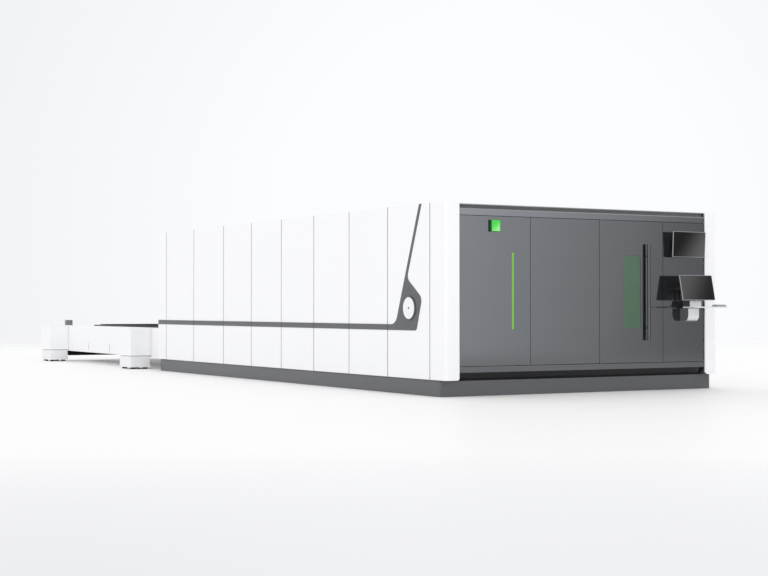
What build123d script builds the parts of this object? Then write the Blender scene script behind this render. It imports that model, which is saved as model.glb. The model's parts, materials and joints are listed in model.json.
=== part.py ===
from build123d import *
from math import pi
import os

os.makedirs("parts", exist_ok=True)

# Enclosure: outside sizes, seen from the front it is wide, from the side it is long
enclosure_width = 4080
enclosure_height = 2250
front_post_depth = 337
side_panel_pitch = 981
side_panel_count = 6
rear_panel_pitch = 1140
rear_panel_count = 2
rear_post_depth = 384
post_return = 192
rear_post_return = 300
post_corner_radius = 45
post_edge_radius = 28
panel_bottom = 193
panel_gap = 8
panel_depth = 40
sheet = 3

# Plinth under the enclosure
plinth_height = 181
plinth_side_inset = 14
plinth_front_recess = 127
plinth_rear_recess = 111
foot_pad_radius = 45
foot_pad_height = 20
foot_stem_radius = 12
foot_inset = 109
foot_margin = 60
feet_per_side = 6

# Square tube frame inside the enclosure
tube = 80
base_tube_height = 80
tube_wall = 5
roof_tube_drop = 40
roof_panel_depth = 35

# Dark front between the two white corner posts
fascia_set_back = 17
fascia_side_gap = 4
front_panel_depth = 120
front_panel_bottom = 350
front_panel_drop = 150
front_gap = 6
front_panel_pitches = (1003, 1023, 992)
header_drop = 20
cove_radius = 42
cove_lip = 8
sill_bend = 280

# Operator door, hung on an upper and a lower pivot pin
door_depth = 50
door_pivot_inset = 40
door_pivot_depth = 15
door_pin_radius = 10
door_pin_collar_radius = 20
door_pin_reach = 24
door_boss = 44
running_clearance = 0.05
window_inset = 361
window_width = 272
window_bottom = 775
window_height = 896
window_lap = 15
window_thickness = 6
window_corner_radius = 6

# Long tubular handle of the door
handle_from_hinge = 728
handle_bottom = 625
handle_length = 1192
handle_radius = 20
handle_stand_off = 45
handle_stud_radius = 9
handle_stud_heights = (780, 1666)

# Light strip and lamp on the first front panel
strip_from_panel_edge = 738
strip_width = 24
strip_bottom = 777
strip_height = 897
strip_depth = 14
strip_proud = 2
lamp_from_panel_edge = 489
lamp_height = 1986
lamp_width = 124
lamp_tall = 140
lamp_proud = 40
lamp_corner_radius = 12
lens_thickness = 4
lens_border = 7

# Operator console beside the door
console_from_right = 305
arm_width = 173
arm_top = 1020
arm_bottom = 857
arm_reach = 155
arm_corner_radius = 80
arm_cover = 5
arm_edge_radius = 20
swivel_collar_radius = 44
swivel_collar_height = 8
swivel_from_wall = 105
swivel_pin_radius = 14
swivel_pin_height = 33
swivel_pin_gap = 1
neck_width = 200
neck_offset = 17
neck_depth = 140
neck_height = 85
tray_width = 545
tray_offset = 10
tray_depth = 237
tray_front = 477
tray_thickness = 14
tray_corner_radius = 24
keyboard_width = 150
keyboard_depth = 100
keyboard_thickness = 22
keyboard_offset = 198
keyboard_from_wall = 400

# Monitors: the same model twice, on different arms
monitor_width = 521
monitor_height = 318
monitor_rim = 14
monitor_back_width = 380
monitor_back_height = 210
monitor_back_depth = 24
monitor_corner_radius = 8
screen_border = 4
screen_thickness = 2
lug_width = 60
lug_reach = 40
lug_radius = 16
tilt_pin_radius = 7
wall_plate = 100
ear_width = 12
lower_monitor_tilt = 12.6
lower_monitor_height = 1280
lower_monitor_stand_off = 226
upper_monitor_tilt = -3
upper_monitor_height = 1822
upper_monitor_stand_off = 99
upper_monitor_offset = -20
arm_clearance = 0.3

# Dark trim on the white sides: a level band and, on the left, a slanting bar with a round cover
trim_thickness = 4
band_bottom = 760
band_height = 70
bar_foot = 1122
bar_width = 54
bar_slope = 0.385
bar_fillet = 150
badge_join_height = 1382
badge_knee = (511, 1143)
badge_heel = 636
badge_join_radius = 80
badge_knee_radius = 90
badge_heel_radius = 50
cover_from_front = 795
cover_height = 1025
cover_radius = 143
cover_proud = 12
cover_groove = 3
cover_ring_radius = 80

# Machine bed and its rails
bed_outer = 1750
bed_inner = 1450
bed_start = 900
bed_end = 8700
bed_top = 950
bed_wall = 20
bed_foot_height = 60
bed_foot_radius = 60
bed_feet_per_side = 5
bed_cross_bottom = 80
bed_cross_height = 160
bed_cross_depth = 200
bed_cross_count = 5
y_rail_centre = 1600
y_rail_width = 40
y_rail_height = 35
y_rail_margin = 100
rack_size = 30
rack_drop = 50

# Levels shared by the bed and the exchange table
pallet_level = 495
level_spacing = 220
rail_inner = 1310
rail_thickness = 30
machine_rail_start = 2700
machine_rail_end = 8870

# Gantry: a beam across the machine, a carriage along it and a head that lifts
gantry_from_front = 2150
gantry_travel = 5800
beam_half_length = 1720
beam_depth = 300
beam_height = 340
beam_bottom = 1080
beam_wall = 10
beam_corner_radius = 25
end_plate_inner = 1535
end_plate_outer = 1880
end_plate_depth = 520
end_plate_thickness = 60
saddle_width = 90
saddle_length = 130
saddle_skirt = 20
rail_clearance = 0.3
x_rail_width = 25
x_rail_depth = 22
x_rail_half_length = 1480
x_rail_spacing = 240
magnet_track_width = 90
magnet_track_depth = 14
carriage_width = 300
carriage_bottom = 1040
carriage_top = 1560
carriage_plate = 25
carriage_travel = 1250
x_saddle_height = 60
x_saddle_length = 80
z_rail_width = 20
z_rail_depth = 18
z_rail_spacing = 110
slide_width = 170
slide_height = 330
slide_plate = 18
slide_bottom = 1220
z_saddle_width = 44
z_saddle_length = 60
nozzle_tip = 960
head_travel = 240
head_radius = 52
nozzle_radius = 2
nozzle_base_radius = 9
nozzle_length = 14
sensor_radius = 18
sensor_top = 34
cone_top = 130
barrel_top = 420
fibre_radius = 26
fibre_shoulder = 30
fibre_top = 500
pinion_radius = 40
pinion_teeth = 20
pinion_tooth_height = 6
pinion_tooth_root = 2
pinion_flank_angle = 75
pinion_shaft_radius = 12

# Rear opening through which the pallets pass
rear_opening_half = 1480
rear_opening_top = 1034

# Exchange table behind the machine
near_leg_gap = 613
leg_spacing = 4350
leg_depth = 550
leg_width = 375
sleeve_top = 680
sleeve_bottom = 224
sleeve_wall = 6
sleeve_corner_radius = 12
pedestal_top = 216
pedestal_bottom = 30
pedestal_inset = 12
pedestal_foot_radius = 40
pedestal_foot_inset = 80
column = 160
column_top = 636
jack_bore_depth = 300
jack_radius = 30
beam_gap = 18
table_beam_depth = 120
table_beam_bottom = 200
table_beam_top = 690
table_beam_wall = 6
table_beam_lip = 60
table_beam_end_gap = 70
beam_slot_width = 25
beam_slot_height = 145
beam_slot_bottom = 236
beam_slot_positions = (11543, 12695)
cross_depth = 100
cross_positions = (9700, 11900)
end_cross_bottom = 100
end_cross_position = 14230
rib_reach = 340
rib_thickness = 12
rib_positions = (9300, 10300, 11300, 12300, 13300, 14100)
rib_window_corner = 30
rib_window_margin = 60
table_rail_end_gap = 30

# Pallets: two alike, one on each level of the table
pallet_start = 8960
pallet_length = 5200
pallet_half_width = 1290
pallet_travel = 6000
pallet_tube = 70
pallet_side_tube = 50
pallet_cross_count = 6
pallet_frame_rise = 80
slat_height = 50
slat_thickness = 5
slat_pitch = 100
slat_margin = 60
wheel_radius = 50
wheel_width = 50
wheel_gap = 20
axle_radius = 20
wheel_clearance = 0.3
axle_inset = 700
bearing_length = 90
bearing_drop = 65
stop_size = 100
stop_from_beam_end = 250

# Places worked out from the sizes above; distances along the machine start at the front plane
enclosure_length = (
    front_post_depth
    + side_panel_count * side_panel_pitch
    + rear_panel_count * rear_panel_pitch
    + rear_post_depth
)
table_end = enclosure_length + near_leg_gap + leg_spacing + leg_depth
table_beam_end = table_end - table_beam_end_gap
table_rail_end = table_beam_end - table_rail_end_gap
front_y = -(table_end - tray_front + fascia_set_back) / 2
rear_y = front_y + enclosure_length
side = enclosure_width / 2
fascia_y = front_y + fascia_set_back
frame_front = fascia_y + front_panel_depth
frame_rear = rear_y - panel_depth
frame_side = side - panel_depth
base_top = plinth_height + base_tube_height
roof_tube_top = enclosure_height - roof_tube_drop
header_top = enclosure_height - header_drop
front_panel_top = enclosure_height - front_panel_drop
seams = [front_post_depth + i * side_panel_pitch for i in range(side_panel_count + 1)]
seams += [seams[-1] + (i + 1) * rear_panel_pitch for i in range(rear_panel_count)]
fascia_left = -side + post_return + fascia_side_gap
fascia_right = -fascia_left
front_seams = [fascia_left]
for pitch in front_panel_pitches:
    front_seams.append(front_seams[-1] + pitch)
front_seams.append(fascia_right)
axle_level = pallet_level + wheel_radius + wheel_clearance
axle_positions = (axle_inset, pallet_length - axle_inset)
pallet_frame_bottom = pallet_level + pallet_frame_rise
rail_outer = bed_inner
beam_inner_x = rail_outer + rib_reach
beam_outer_x = beam_inner_x + table_beam_depth
leg_outer = beam_outer_x + leg_width
gantry_y = front_y + gantry_from_front
left_and_right = (-1, 1)


def between(low, high):
    """The middle and the length of a stretch."""
    return (low + high) / 2, high - low


def block(x, y, z, mode=Mode.ADD):
    """A rectangular block between two corners."""
    (x_mid, x_size), (y_mid, y_size), (z_mid, z_size) = between(*x), between(*y), between(*z)
    with Locations((x_mid, y_mid, z_mid)):
        Box(x_size, y_size, z_size, mode=mode)


def on_side(sign, inner, outer):
    """A stretch across the machine, on its left (-1) or right (1) side."""
    return tuple(sorted((sign * inner, sign * outer)))


def pan(x, y, z, open_side):
    """A folded sheet tray between two corners, open on the side that open_side points to."""
    (x_mid, x_size), (y_mid, y_size), (z_mid, z_size) = between(*x), between(*y), between(*z)
    solid = Box(x_size, y_size, z_size, mode=Mode.PRIVATE)
    opening = solid.faces().sort_by(lambda face: face.center().dot(Vector(*open_side)))[-1]
    tray = offset(solid, amount=-sheet, openings=opening, mode=Mode.PRIVATE)
    add(tray.moved(Location((x_mid, y_mid, z_mid))))


def square_tube(x, y, z, along, wall=tube_wall):
    """A hollow rectangular tube between two corners, open at both ends along one axis."""
    block(x, y, z)
    ranges = []
    for name, (low, high) in zip("xyz", (x, y, z)):
        ranges.append((low, high) if name == along else (low + wall, high - wall))
    block(*ranges, mode=Mode.SUBTRACT)


def rod(start, end, radius, mode=Mode.ADD):
    """A round bar between two points."""
    axis = Vector(*end) - Vector(*start)
    with BuildSketch(Plane(start, z_dir=axis)) as circle:
        Circle(radius)
    extrude(circle.sketch, amount=axis.length, mode=mode)


def rounded_slab(plane, width, height, radius, amount, mode=Mode.ADD):
    """A plate with rounded corners on a plane, thickened by amount along its normal."""
    with BuildSketch(plane) as outline:
        RectangleRounded(width, height, radius)
    extrude(outline.sketch, amount=amount, mode=mode)


def finish(part, label):
    """Name a finished piece and write it out."""
    part.label = label
    export_step(part, f"parts/{label}.step")


# White side panels: one folded pan between each pair of seams
def side_wall(sign):
    for start, end in zip(seams[:-1], seams[1:]):
        pan(
            on_side(sign, frame_side, side),
            (front_y + start + panel_gap / 2, front_y + end - panel_gap / 2),
            (panel_bottom, enclosure_height),
            (-sign, 0, 0),
        )


with BuildPart() as side_panels:
    for hand in left_and_right:
        side_wall(hand)
finish(side_panels.part, "side_panels")


# White corner posts: a side face and a return face, a rounded bend and two turned lips
def corner_post(sign, outer_y, inner_y, return_width):
    x_mid, x_size = between(*on_side(sign, side - return_width, side))
    y_mid, y_size = between(*sorted((outer_y, inner_y)))
    to_inside = 1 if inner_y > outer_y else -1
    with BuildSketch(Plane.XY.offset(panel_bottom)) as section:
        with Locations((x_mid, y_mid)):
            Rectangle(x_size, y_size)
        corner = section.vertices().sort_by_distance((sign * side, outer_y))[0]
        fillet(corner, post_corner_radius)
        offset(amount=-sheet, mode=Mode.SUBTRACT)
        with Locations((x_mid - sign * panel_depth, y_mid + to_inside * panel_depth)):
            Rectangle(x_size, y_size, mode=Mode.SUBTRACT)
    extrude(section.sketch, amount=enclosure_height - panel_bottom)


def round_return_corners(sign, outer_y, return_width):
    """Round the inner corners of a return face, as seen from the end of the machine."""
    corner_x = sign * (side - return_width)
    for corner_z, downwards in ((panel_bottom, 1), (enclosure_height, -1)):
        centre = (corner_x + sign * post_edge_radius, corner_z + downwards * post_edge_radius)
        middle = (corner_x + sign * post_edge_radius / 2, corner_z + downwards * post_edge_radius / 2)
        with BuildSketch(Plane((0, outer_y, 0), x_dir=(1, 0, 0), z_dir=(0, -1, 0))) as corner:
            with Locations(middle):
                Rectangle(post_edge_radius, post_edge_radius)
            with Locations(centre):
                Circle(post_edge_radius, mode=Mode.SUBTRACT)
        extrude(corner.sketch, amount=panel_depth, both=True, mode=Mode.SUBTRACT)


with BuildPart() as corner_posts:
    for hand in left_and_right:
        corner_post(hand, front_y, front_y + front_post_depth - panel_gap / 2, post_return)
        round_return_corners(hand, front_y, post_return)
        corner_post(hand, rear_y, rear_y - rear_post_depth + panel_gap / 2, rear_post_return)
        round_return_corners(hand, rear_y, rear_post_return)
finish(corner_posts.part, "corner_posts")

# Rear wall: two panels beside the pallet opening and three above it
rear_panel_left = -side + rear_post_return + panel_gap / 2
with BuildPart() as rear_wall_panels:
    for hand in left_and_right:
        pan(
            on_side(hand, rear_opening_half, -rear_panel_left),
            (frame_rear, rear_y),
            (panel_bottom, rear_opening_top - panel_gap),
            (0, -1, 0),
        )
    upper_width = -2 * rear_panel_left / 3
    for i in range(3):
        low = rear_panel_left + i * upper_width
        pan(
            (low + panel_gap / 2, low + upper_width - panel_gap / 2),
            (frame_rear, rear_y),
            (rear_opening_top, enclosure_height),
            (0, -1, 0),
        )
finish(rear_wall_panels.part, "rear_wall_panels")

# Roof pans, lying on the roof beams, one for each bay
roof_bays = [frame_front - front_y] + seams[1:-1] + [frame_rear - front_y]
with BuildPart() as roof_panels:
    for start, end in zip(roof_bays[:-1], roof_bays[1:]):
        pan(
            (-frame_side, frame_side),
            (front_y + start + panel_gap / 2, front_y + end - panel_gap / 2),
            (roof_tube_top, roof_tube_top + roof_panel_depth),
            (0, 0, -1),
        )
finish(roof_panels.part, "roof_panels")

# Dark plinth: four folded skirts
plinth_x = side - plinth_side_inset
plinth_front = front_y + plinth_front_recess
plinth_rear = rear_y - plinth_rear_recess
with BuildPart() as plinth_skirts:
    pan(
        (-plinth_x, plinth_x),
        (plinth_front, plinth_front + panel_depth),
        (0, plinth_height),
        (0, 1, 0),
    )
    pan(
        (-plinth_x, plinth_x),
        (plinth_rear - panel_depth, plinth_rear),
        (0, plinth_height),
        (0, -1, 0),
    )
    for hand in left_and_right:
        pan(
            on_side(hand, plinth_x - panel_depth, plinth_x),
            (plinth_front + panel_depth + sheet, plinth_rear - panel_depth - sheet),
            (0, plinth_height),
            (-hand, 0, 0),
        )
finish(plinth_skirts.part, "plinth_skirts")

# Welded frame: long tubes, cross tubes between them, and uprights at every seam
frame_inner = frame_side - tube
upright_top = roof_tube_top - tube
frame_levels = ((plinth_height, base_top), (upright_top, roof_tube_top))
with BuildPart() as frame_long_tubes:
    for hand in left_and_right:
        for level in frame_levels:
            square_tube(
                on_side(hand, frame_inner, frame_side), (frame_front, frame_rear), level, "y"
            )
finish(frame_long_tubes.part, "frame_long_tubes")

end_tubes = [frame_front + tube / 2, frame_rear - tube / 2]
roof_tubes = end_tubes + [front_y + seam for seam in seams[1:-1]]
with BuildPart() as frame_cross_tubes:
    for places, level in zip((end_tubes, roof_tubes), frame_levels):
        for place in places:
            square_tube(
                (-frame_inner, frame_inner), (place - tube / 2, place + tube / 2), level, "x"
            )
    square_tube(
        (-rear_opening_half, rear_opening_half),
        (frame_rear - tube, frame_rear),
        (rear_opening_top, rear_opening_top + tube),
        "x",
    )
finish(frame_cross_tubes.part, "frame_cross_tubes")

front_upright_places = [front_seams[0] + tube] + front_seams[1:-1] + [front_seams[-1] - tube]
rear_upright_places = [hand * (rear_opening_half + tube / 2) for hand in left_and_right]
with BuildPart() as frame_uprights:
    for hand in left_and_right:
        for seam in seams:
            square_tube(
                on_side(hand, frame_inner, frame_side),
                (front_y + seam - tube / 2, front_y + seam + tube / 2),
                (base_top, upright_top),
                "z",
            )
    for places, start in (
        (front_upright_places, frame_front),
        (rear_upright_places, frame_rear - tube),
    ):
        for place in places:
            square_tube(
                (place - tube / 2, place + tube / 2), (start, start + tube), (base_top, upright_top), "z"
            )
finish(frame_uprights.part, "frame_uprights")

# Header over the front panels: a box section with a concave cove under a thin top lip
end_view = Plane((fascia_left, front_y, 0), x_dir=(0, 1, 0), z_dir=(1, 0, 0))
header_bottom = front_panel_top + front_gap / 2
with BuildPart() as front_header:
    with BuildSketch(end_view) as header_section:
        z_mid, z_size = between(header_bottom, header_top)
        with Locations((fascia_set_back + front_panel_depth / 2, z_mid)):
            Rectangle(front_panel_depth, z_size)
        with Locations((fascia_set_back, header_top - cove_lip)):
            Circle(cove_radius, mode=Mode.SUBTRACT)
        with Locations((fascia_set_back + cove_radius / 2, header_top - cove_lip / 2)):
            Rectangle(cove_radius, cove_lip)
        hollow_top = header_top - cove_lip - cove_radius - sheet
        z_mid, z_size = between(header_bottom + sheet, hollow_top)
        with Locations((fascia_set_back + front_panel_depth / 2, z_mid)):
            Rectangle(front_panel_depth - 2 * sheet, z_size, mode=Mode.SUBTRACT)
    extrude(amount=fascia_right - fascia_left)
finish(front_header.part, "front_header")

# Sill under the front panels: a folded box whose face slopes back to the plinth
sill_top = front_panel_bottom - front_gap / 2
with BuildPart() as front_sill:
    with BuildSketch(end_view) as sill_section:
        with BuildLine():
            Polyline(
                (fascia_set_back, sill_top),
                (fascia_set_back + front_panel_depth, sill_top),
                (fascia_set_back + front_panel_depth, plinth_height),
                (plinth_front_recess, plinth_height),
                (fascia_set_back, sill_bend),
                close=True,
            )
        make_face()
        offset(amount=-sheet, mode=Mode.SUBTRACT)
    extrude(amount=fascia_right - fascia_left)
finish(front_sill.part, "front_sill")


# Dark front panels
def front_panel(number, depth):
    """The folded pan between two seams of the front, counted from the left."""
    pan(
        (front_seams[number] + front_gap / 2, front_seams[number + 1] - front_gap / 2),
        (fascia_y, fascia_y + depth),
        (front_panel_bottom + front_gap / 2, front_panel_top - front_gap / 2),
        (0, 1, 0),
    )


strip_x = front_seams[0] + strip_from_panel_edge
strip_sides = (strip_x, strip_x + strip_width)
strip_heights = (strip_bottom, strip_bottom + strip_height)
with BuildPart() as front_panels:
    for number in (0, 1, 3):
        front_panel(number, front_panel_depth)
    block(strip_sides, (fascia_y, fascia_y + sheet), strip_heights, mode=Mode.SUBTRACT)
finish(front_panels.part, "front_panels")

with BuildPart() as light_strip:
    block(strip_sides, (fascia_y - strip_proud, fascia_y + strip_depth), strip_heights)
finish(light_strip.part, "light_strip")

# Square lamp: a dark housing that stands off the panel, with a green lens on its face
lamp_x = front_seams[0] + lamp_from_panel_edge
lamp_plane = Plane((lamp_x, fascia_y, lamp_height), x_dir=(1, 0, 0), z_dir=(0, -1, 0))
lamp_face = lamp_plane.offset(lamp_proud - lens_thickness)
with BuildPart() as lamp_housing:
    rounded_slab(lamp_plane, lamp_width, lamp_tall, lamp_corner_radius, lamp_proud - lens_thickness)
finish(lamp_housing.part, "lamp_housing")

with BuildPart() as lamp_lens:
    rounded_slab(
        lamp_face,
        lamp_width - 2 * lens_border,
        lamp_tall - 2 * lens_border,
        lamp_corner_radius - lens_border / 2,
        lens_thickness,
    )
finish(lamp_lens.part, "lamp_lens")

# Operator door: a pan with a window cut in it and a bushed boss for each pivot
door_left = front_seams[2] + front_gap / 2
pivot = (door_left + door_pivot_inset, fascia_y + door_pivot_depth)
door_low = front_panel_bottom + front_gap / 2
door_high = front_panel_top - front_gap / 2
window_x = between(door_left + window_inset, door_left + window_inset + window_width)[0]
window_z = window_bottom + window_height / 2
window_plane = Plane((window_x, fascia_y, window_z), x_dir=(1, 0, 0), z_dir=(0, -1, 0))
with BuildPart() as door_leaf:
    front_panel(2, door_depth)
    for low in (door_low + sheet, door_high - sheet - door_boss):
        block(
            (door_left + sheet, door_left + sheet + 2 * door_boss),
            (fascia_y + sheet, fascia_y + sheet + door_boss),
            (low, low + door_boss),
        )
    for low, high in ((door_low, door_low + door_boss), (door_high - door_boss, door_high)):
        rod((*pivot, low), (*pivot, high), door_pin_radius + running_clearance, mode=Mode.SUBTRACT)
    rounded_slab(
        window_plane.offset(sheet),
        window_width,
        window_height,
        window_corner_radius,
        -2 * sheet,
        mode=Mode.SUBTRACT,
    )
finish(door_leaf.part, "door_leaf")

with BuildPart() as door_window:
    rounded_slab(
        window_plane.offset(-sheet),
        window_width + 2 * window_lap,
        window_height + 2 * window_lap,
        window_corner_radius,
        -window_thickness,
    )
finish(door_window.part, "door_window")

with BuildPart() as door_pivot_pins:
    for seat, leaf_edge, tip in (
        (sill_top, door_low, door_low + door_pin_reach),
        (header_bottom, door_high, door_high - door_pin_reach),
    ):
        half_gap = (seat + leaf_edge) / 2
        rod((*pivot, seat), (*pivot, tip), door_pin_radius)
        rod((*pivot, seat), (*pivot, half_gap), door_pin_collar_radius)
finish(door_pivot_pins.part, "door_pivot_pins")

handle_x = door_left + handle_from_hinge
handle_y = fascia_y - handle_stand_off
with BuildPart() as door_handle:
    handle_top = handle_bottom + handle_length
    rod((handle_x, handle_y, handle_bottom), (handle_x, handle_y, handle_top), handle_radius)
    chamfer(door_handle.edges().filter_by(GeomType.CIRCLE), handle_radius / 6)
    for height in handle_stud_heights:
        rod((handle_x, fascia_y, height), (handle_x, handle_y, height), handle_stud_radius)
finish(door_handle.part, "door_handle")

# Console arm: a dark body with a big lower front curve, and a silver cover over front and curve
console_x = fascia_right - console_from_right
arm_side = Plane((console_x - arm_width / 2, fascia_y, 0), x_dir=(0, 1, 0), z_dir=(1, 0, 0))


def arm_profile(skin):
    """The arm seen from its side, drawn in by skin at the front and below."""
    y_mid, y_size = between(skin - arm_reach, 0)
    z_mid, z_size = between(arm_bottom + skin, arm_top)
    with BuildSketch(arm_side) as profile:
        with Locations((y_mid, z_mid)):
            Rectangle(y_size, z_size)
        low_front = profile.vertices().sort_by_distance((-arm_reach, arm_bottom))[0]
        fillet(low_front, arm_corner_radius - skin)
    return profile.sketch


swivel = (console_x, fascia_y - swivel_from_wall)
collar_top = arm_top + swivel_collar_height
with BuildPart() as console_arm_root:
    extrude(arm_profile(arm_cover), amount=arm_width)
    rod((*swivel, arm_top), (*swivel, collar_top), swivel_collar_radius)
    rod((*swivel, arm_top), (*swivel, arm_top + swivel_pin_height), swivel_pin_radius)
finish(console_arm_root.part, "console_arm_root")

with BuildPart() as console_arm:
    extrude(arm_profile(0), amount=arm_width)
    extrude(arm_profile(arm_cover), amount=arm_width, mode=Mode.SUBTRACT)
finish(console_arm.part, "console_arm")

# Neck on the arm's swivel collar: a white box with the fork of the lower monitor on its top
neck_bottom = collar_top + arm_clearance
neck_top = neck_bottom + neck_height
neck_y = (swivel[1] - neck_depth / 2, swivel[1] + neck_depth / 2)
neck_x = (
    console_x + neck_offset - neck_width / 2,
    console_x + neck_offset + neck_width / 2,
)
tray_back = fascia_y - tray_front + tray_depth
tray_low = neck_bottom
with BuildPart() as keyboard_tray:
    y_mid, y_size = between(fascia_y - tray_front, tray_back)
    rounded_slab(
        Plane((console_x + tray_offset, y_mid, tray_low)),
        tray_width,
        y_size,
        tray_corner_radius,
        tray_thickness,
    )
    block(neck_x, (tray_back, neck_y[0]), (tray_low, tray_low + tray_thickness))
finish(keyboard_tray.part, "keyboard_tray")

tray_top = tray_low + tray_thickness
keyboard_y = fascia_y - keyboard_from_wall
with BuildPart() as keyboard:
    rounded_slab(
        Plane((console_x + keyboard_offset, keyboard_y, tray_top)),
        keyboard_width,
        keyboard_depth,
        monitor_corner_radius,
        keyboard_thickness,
    )
finish(keyboard.part, "keyboard")


# Monitors: a thin rimmed panel, a shallow box on its back and a lug for the tilt pin
def screen_plane(centre_x, height, stand_off, tilt):
    """The front face of a monitor, leaning back by tilt degrees."""
    upright = Plane((centre_x, fascia_y - stand_off, height), x_dir=(1, 0, 0), z_dir=(0, -1, 0))
    return upright.rotated((-tilt, 0, 0))


def monitor_body(face):
    rounded_slab(face, monitor_width, monitor_height, monitor_corner_radius, -monitor_rim)
    rounded_slab(
        face.offset(-monitor_rim),
        monitor_back_width,
        monitor_back_height,
        monitor_corner_radius,
        -monitor_back_depth,
    )
    rounded_slab(
        face.offset(-screen_thickness),
        monitor_width - 2 * screen_border,
        monitor_height - 2 * screen_border,
        monitor_corner_radius / 2,
        screen_thickness,
        mode=Mode.SUBTRACT,
    )
    back = monitor_rim + monitor_back_depth
    lug_plane = Plane(face.origin, x_dir=-face.z_dir, z_dir=face.x_dir).offset(-lug_width / 2)
    with BuildSketch(lug_plane) as lug:
        with Locations((back + lug_reach / 2, 0)):
            Rectangle(lug_reach, 2 * lug_radius)
        with Locations((back + lug_reach, 0)):
            Circle(lug_radius)
            Circle(tilt_pin_radius + running_clearance, mode=Mode.SUBTRACT)
    extrude(lug.sketch, amount=lug_width)


def monitor_screen(face):
    rounded_slab(
        face.offset(-screen_thickness),
        monitor_width - 2 * screen_border,
        monitor_height - 2 * screen_border,
        monitor_corner_radius / 2,
        screen_thickness,
    )


def tilt_axis(face):
    """The middle of the tilt pin behind a monitor."""
    return face.origin - face.z_dir * (monitor_rim + monitor_back_depth + lug_reach)


def tilt_fork(axis, arm_y, arm_z):
    """Two ears and the pin through a monitor's lug; each ear runs back or down to its foot."""
    inner = lug_width / 2 + arm_clearance
    outer = inner + ear_width
    for sign in left_and_right:
        ear_x = tuple(sorted((axis.X + sign * inner, axis.X + sign * outer)))
        block(ear_x, arm_y, arm_z)
        rod((ear_x[0], axis.Y, axis.Z), (ear_x[1], axis.Y, axis.Z), lug_radius)
    rod(
        (axis.X - outer, axis.Y, axis.Z),
        (axis.X + outer, axis.Y, axis.Z),
        tilt_pin_radius,
    )


upper_x = console_x + upper_monitor_offset
lower_face = screen_plane(
    console_x, lower_monitor_height, lower_monitor_stand_off, lower_monitor_tilt
)
upper_face = screen_plane(upper_x, upper_monitor_height, upper_monitor_stand_off, upper_monitor_tilt)
lower_axis = tilt_axis(lower_face)
upper_axis = tilt_axis(upper_face)

with BuildPart() as lower_monitor:
    monitor_body(lower_face)
finish(lower_monitor.part, "lower_monitor")

with BuildPart() as lower_screen:
    monitor_screen(lower_face)
finish(lower_screen.part, "lower_screen")

with BuildPart() as upper_monitor:
    monitor_body(upper_face)
finish(upper_monitor.part, "upper_monitor")

with BuildPart() as upper_screen:
    monitor_screen(upper_face)
finish(upper_screen.part, "upper_screen")

with BuildPart() as console_neck:
    block(neck_x, neck_y, (neck_bottom, neck_top))
    fillet(console_neck.edges().filter_by(Axis.Z), arm_edge_radius)
    rod(
        (*swivel, neck_bottom),
        (*swivel, arm_top + swivel_pin_height + swivel_pin_gap),
        swivel_pin_radius + running_clearance,
        mode=Mode.SUBTRACT,
    )
    tilt_fork(
        lower_axis,
        (lower_axis.Y - lug_radius, lower_axis.Y + lug_radius),
        (neck_top, lower_axis.Z),
    )
finish(console_neck.part, "console_neck")

with BuildPart() as upper_monitor_fork:
    tilt_fork(
        upper_axis,
        (upper_axis.Y, fascia_y),
        (upper_axis.Z - lug_radius, upper_axis.Z + lug_radius),
    )
    rounded_slab(
        Plane((upper_x, fascia_y, upper_axis.Z), x_dir=(1, 0, 0), z_dir=(0, -1, 0)),
        wall_plate,
        wall_plate,
        monitor_corner_radius,
        sheet,
    )
finish(upper_monitor_fork.part, "upper_monitor_fork")

# Trim on the left side: the band's first length with the slanting bar and the field of the cover
left_view = Plane((-side, front_y, 0), x_dir=(0, 1, 0), z_dir=(1, 0, 0))
right_view = Plane((side, front_y, 0), x_dir=(0, 1, 0), z_dir=(1, 0, 0))
band_top = band_bottom + band_height
bar_top_rear = bar_foot - (enclosure_height - band_top) * bar_slope
badge_join = (
    bar_foot - bar_width - (badge_join_height - band_top) * bar_slope,
    badge_join_height,
)
first_panel = (seams[0] + panel_gap / 2, seams[1] - panel_gap / 2)

with BuildPart() as badge_plate:
    with BuildSketch(left_view) as outline:
        with BuildLine():
            Polyline(
                (bar_top_rear - bar_width, enclosure_height),
                (bar_top_rear, enclosure_height),
                (bar_foot, band_top),
                (first_panel[1], band_top),
                (first_panel[1], band_bottom),
                (badge_heel, band_bottom),
                badge_knee,
                badge_join,
                close=True,
            )
        make_face()
        for corner, radius in (
            ((bar_foot, band_top), bar_fillet),
            ((badge_heel, band_bottom), badge_heel_radius),
            (badge_knee, badge_knee_radius),
            (badge_join, badge_join_radius),
        ):
            fillet(outline.vertices().sort_by_distance(corner)[0], radius)
        with Locations((cover_from_front, cover_height)):
            Circle(cover_radius, mode=Mode.SUBTRACT)
    extrude(amount=-trim_thickness)
finish(badge_plate.part, "badge_plate")

# Plain round cover, a little proud, with a ring turned in its face
cover_plane = Plane(
    (-side, front_y + cover_from_front, cover_height), x_dir=(0, -1, 0), z_dir=(-1, 0, 0)
)
with BuildPart() as round_cover:
    with BuildSketch(cover_plane):
        Circle(cover_radius)
    extrude(amount=trim_thickness + cover_proud)
    chamfer(round_cover.faces().sort_by(Axis.X)[0].edges(), cover_groove)
    with BuildSketch(cover_plane.offset(trim_thickness + cover_proud)):
        Circle(cover_ring_radius)
        Circle(cover_ring_radius - cover_groove, mode=Mode.SUBTRACT)
    extrude(amount=-cover_groove, mode=Mode.SUBTRACT)
finish(round_cover.part, "round_cover")

# Level bands on the other panels of both sides
rear_post_start = seams[-1] + panel_gap / 2


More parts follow.
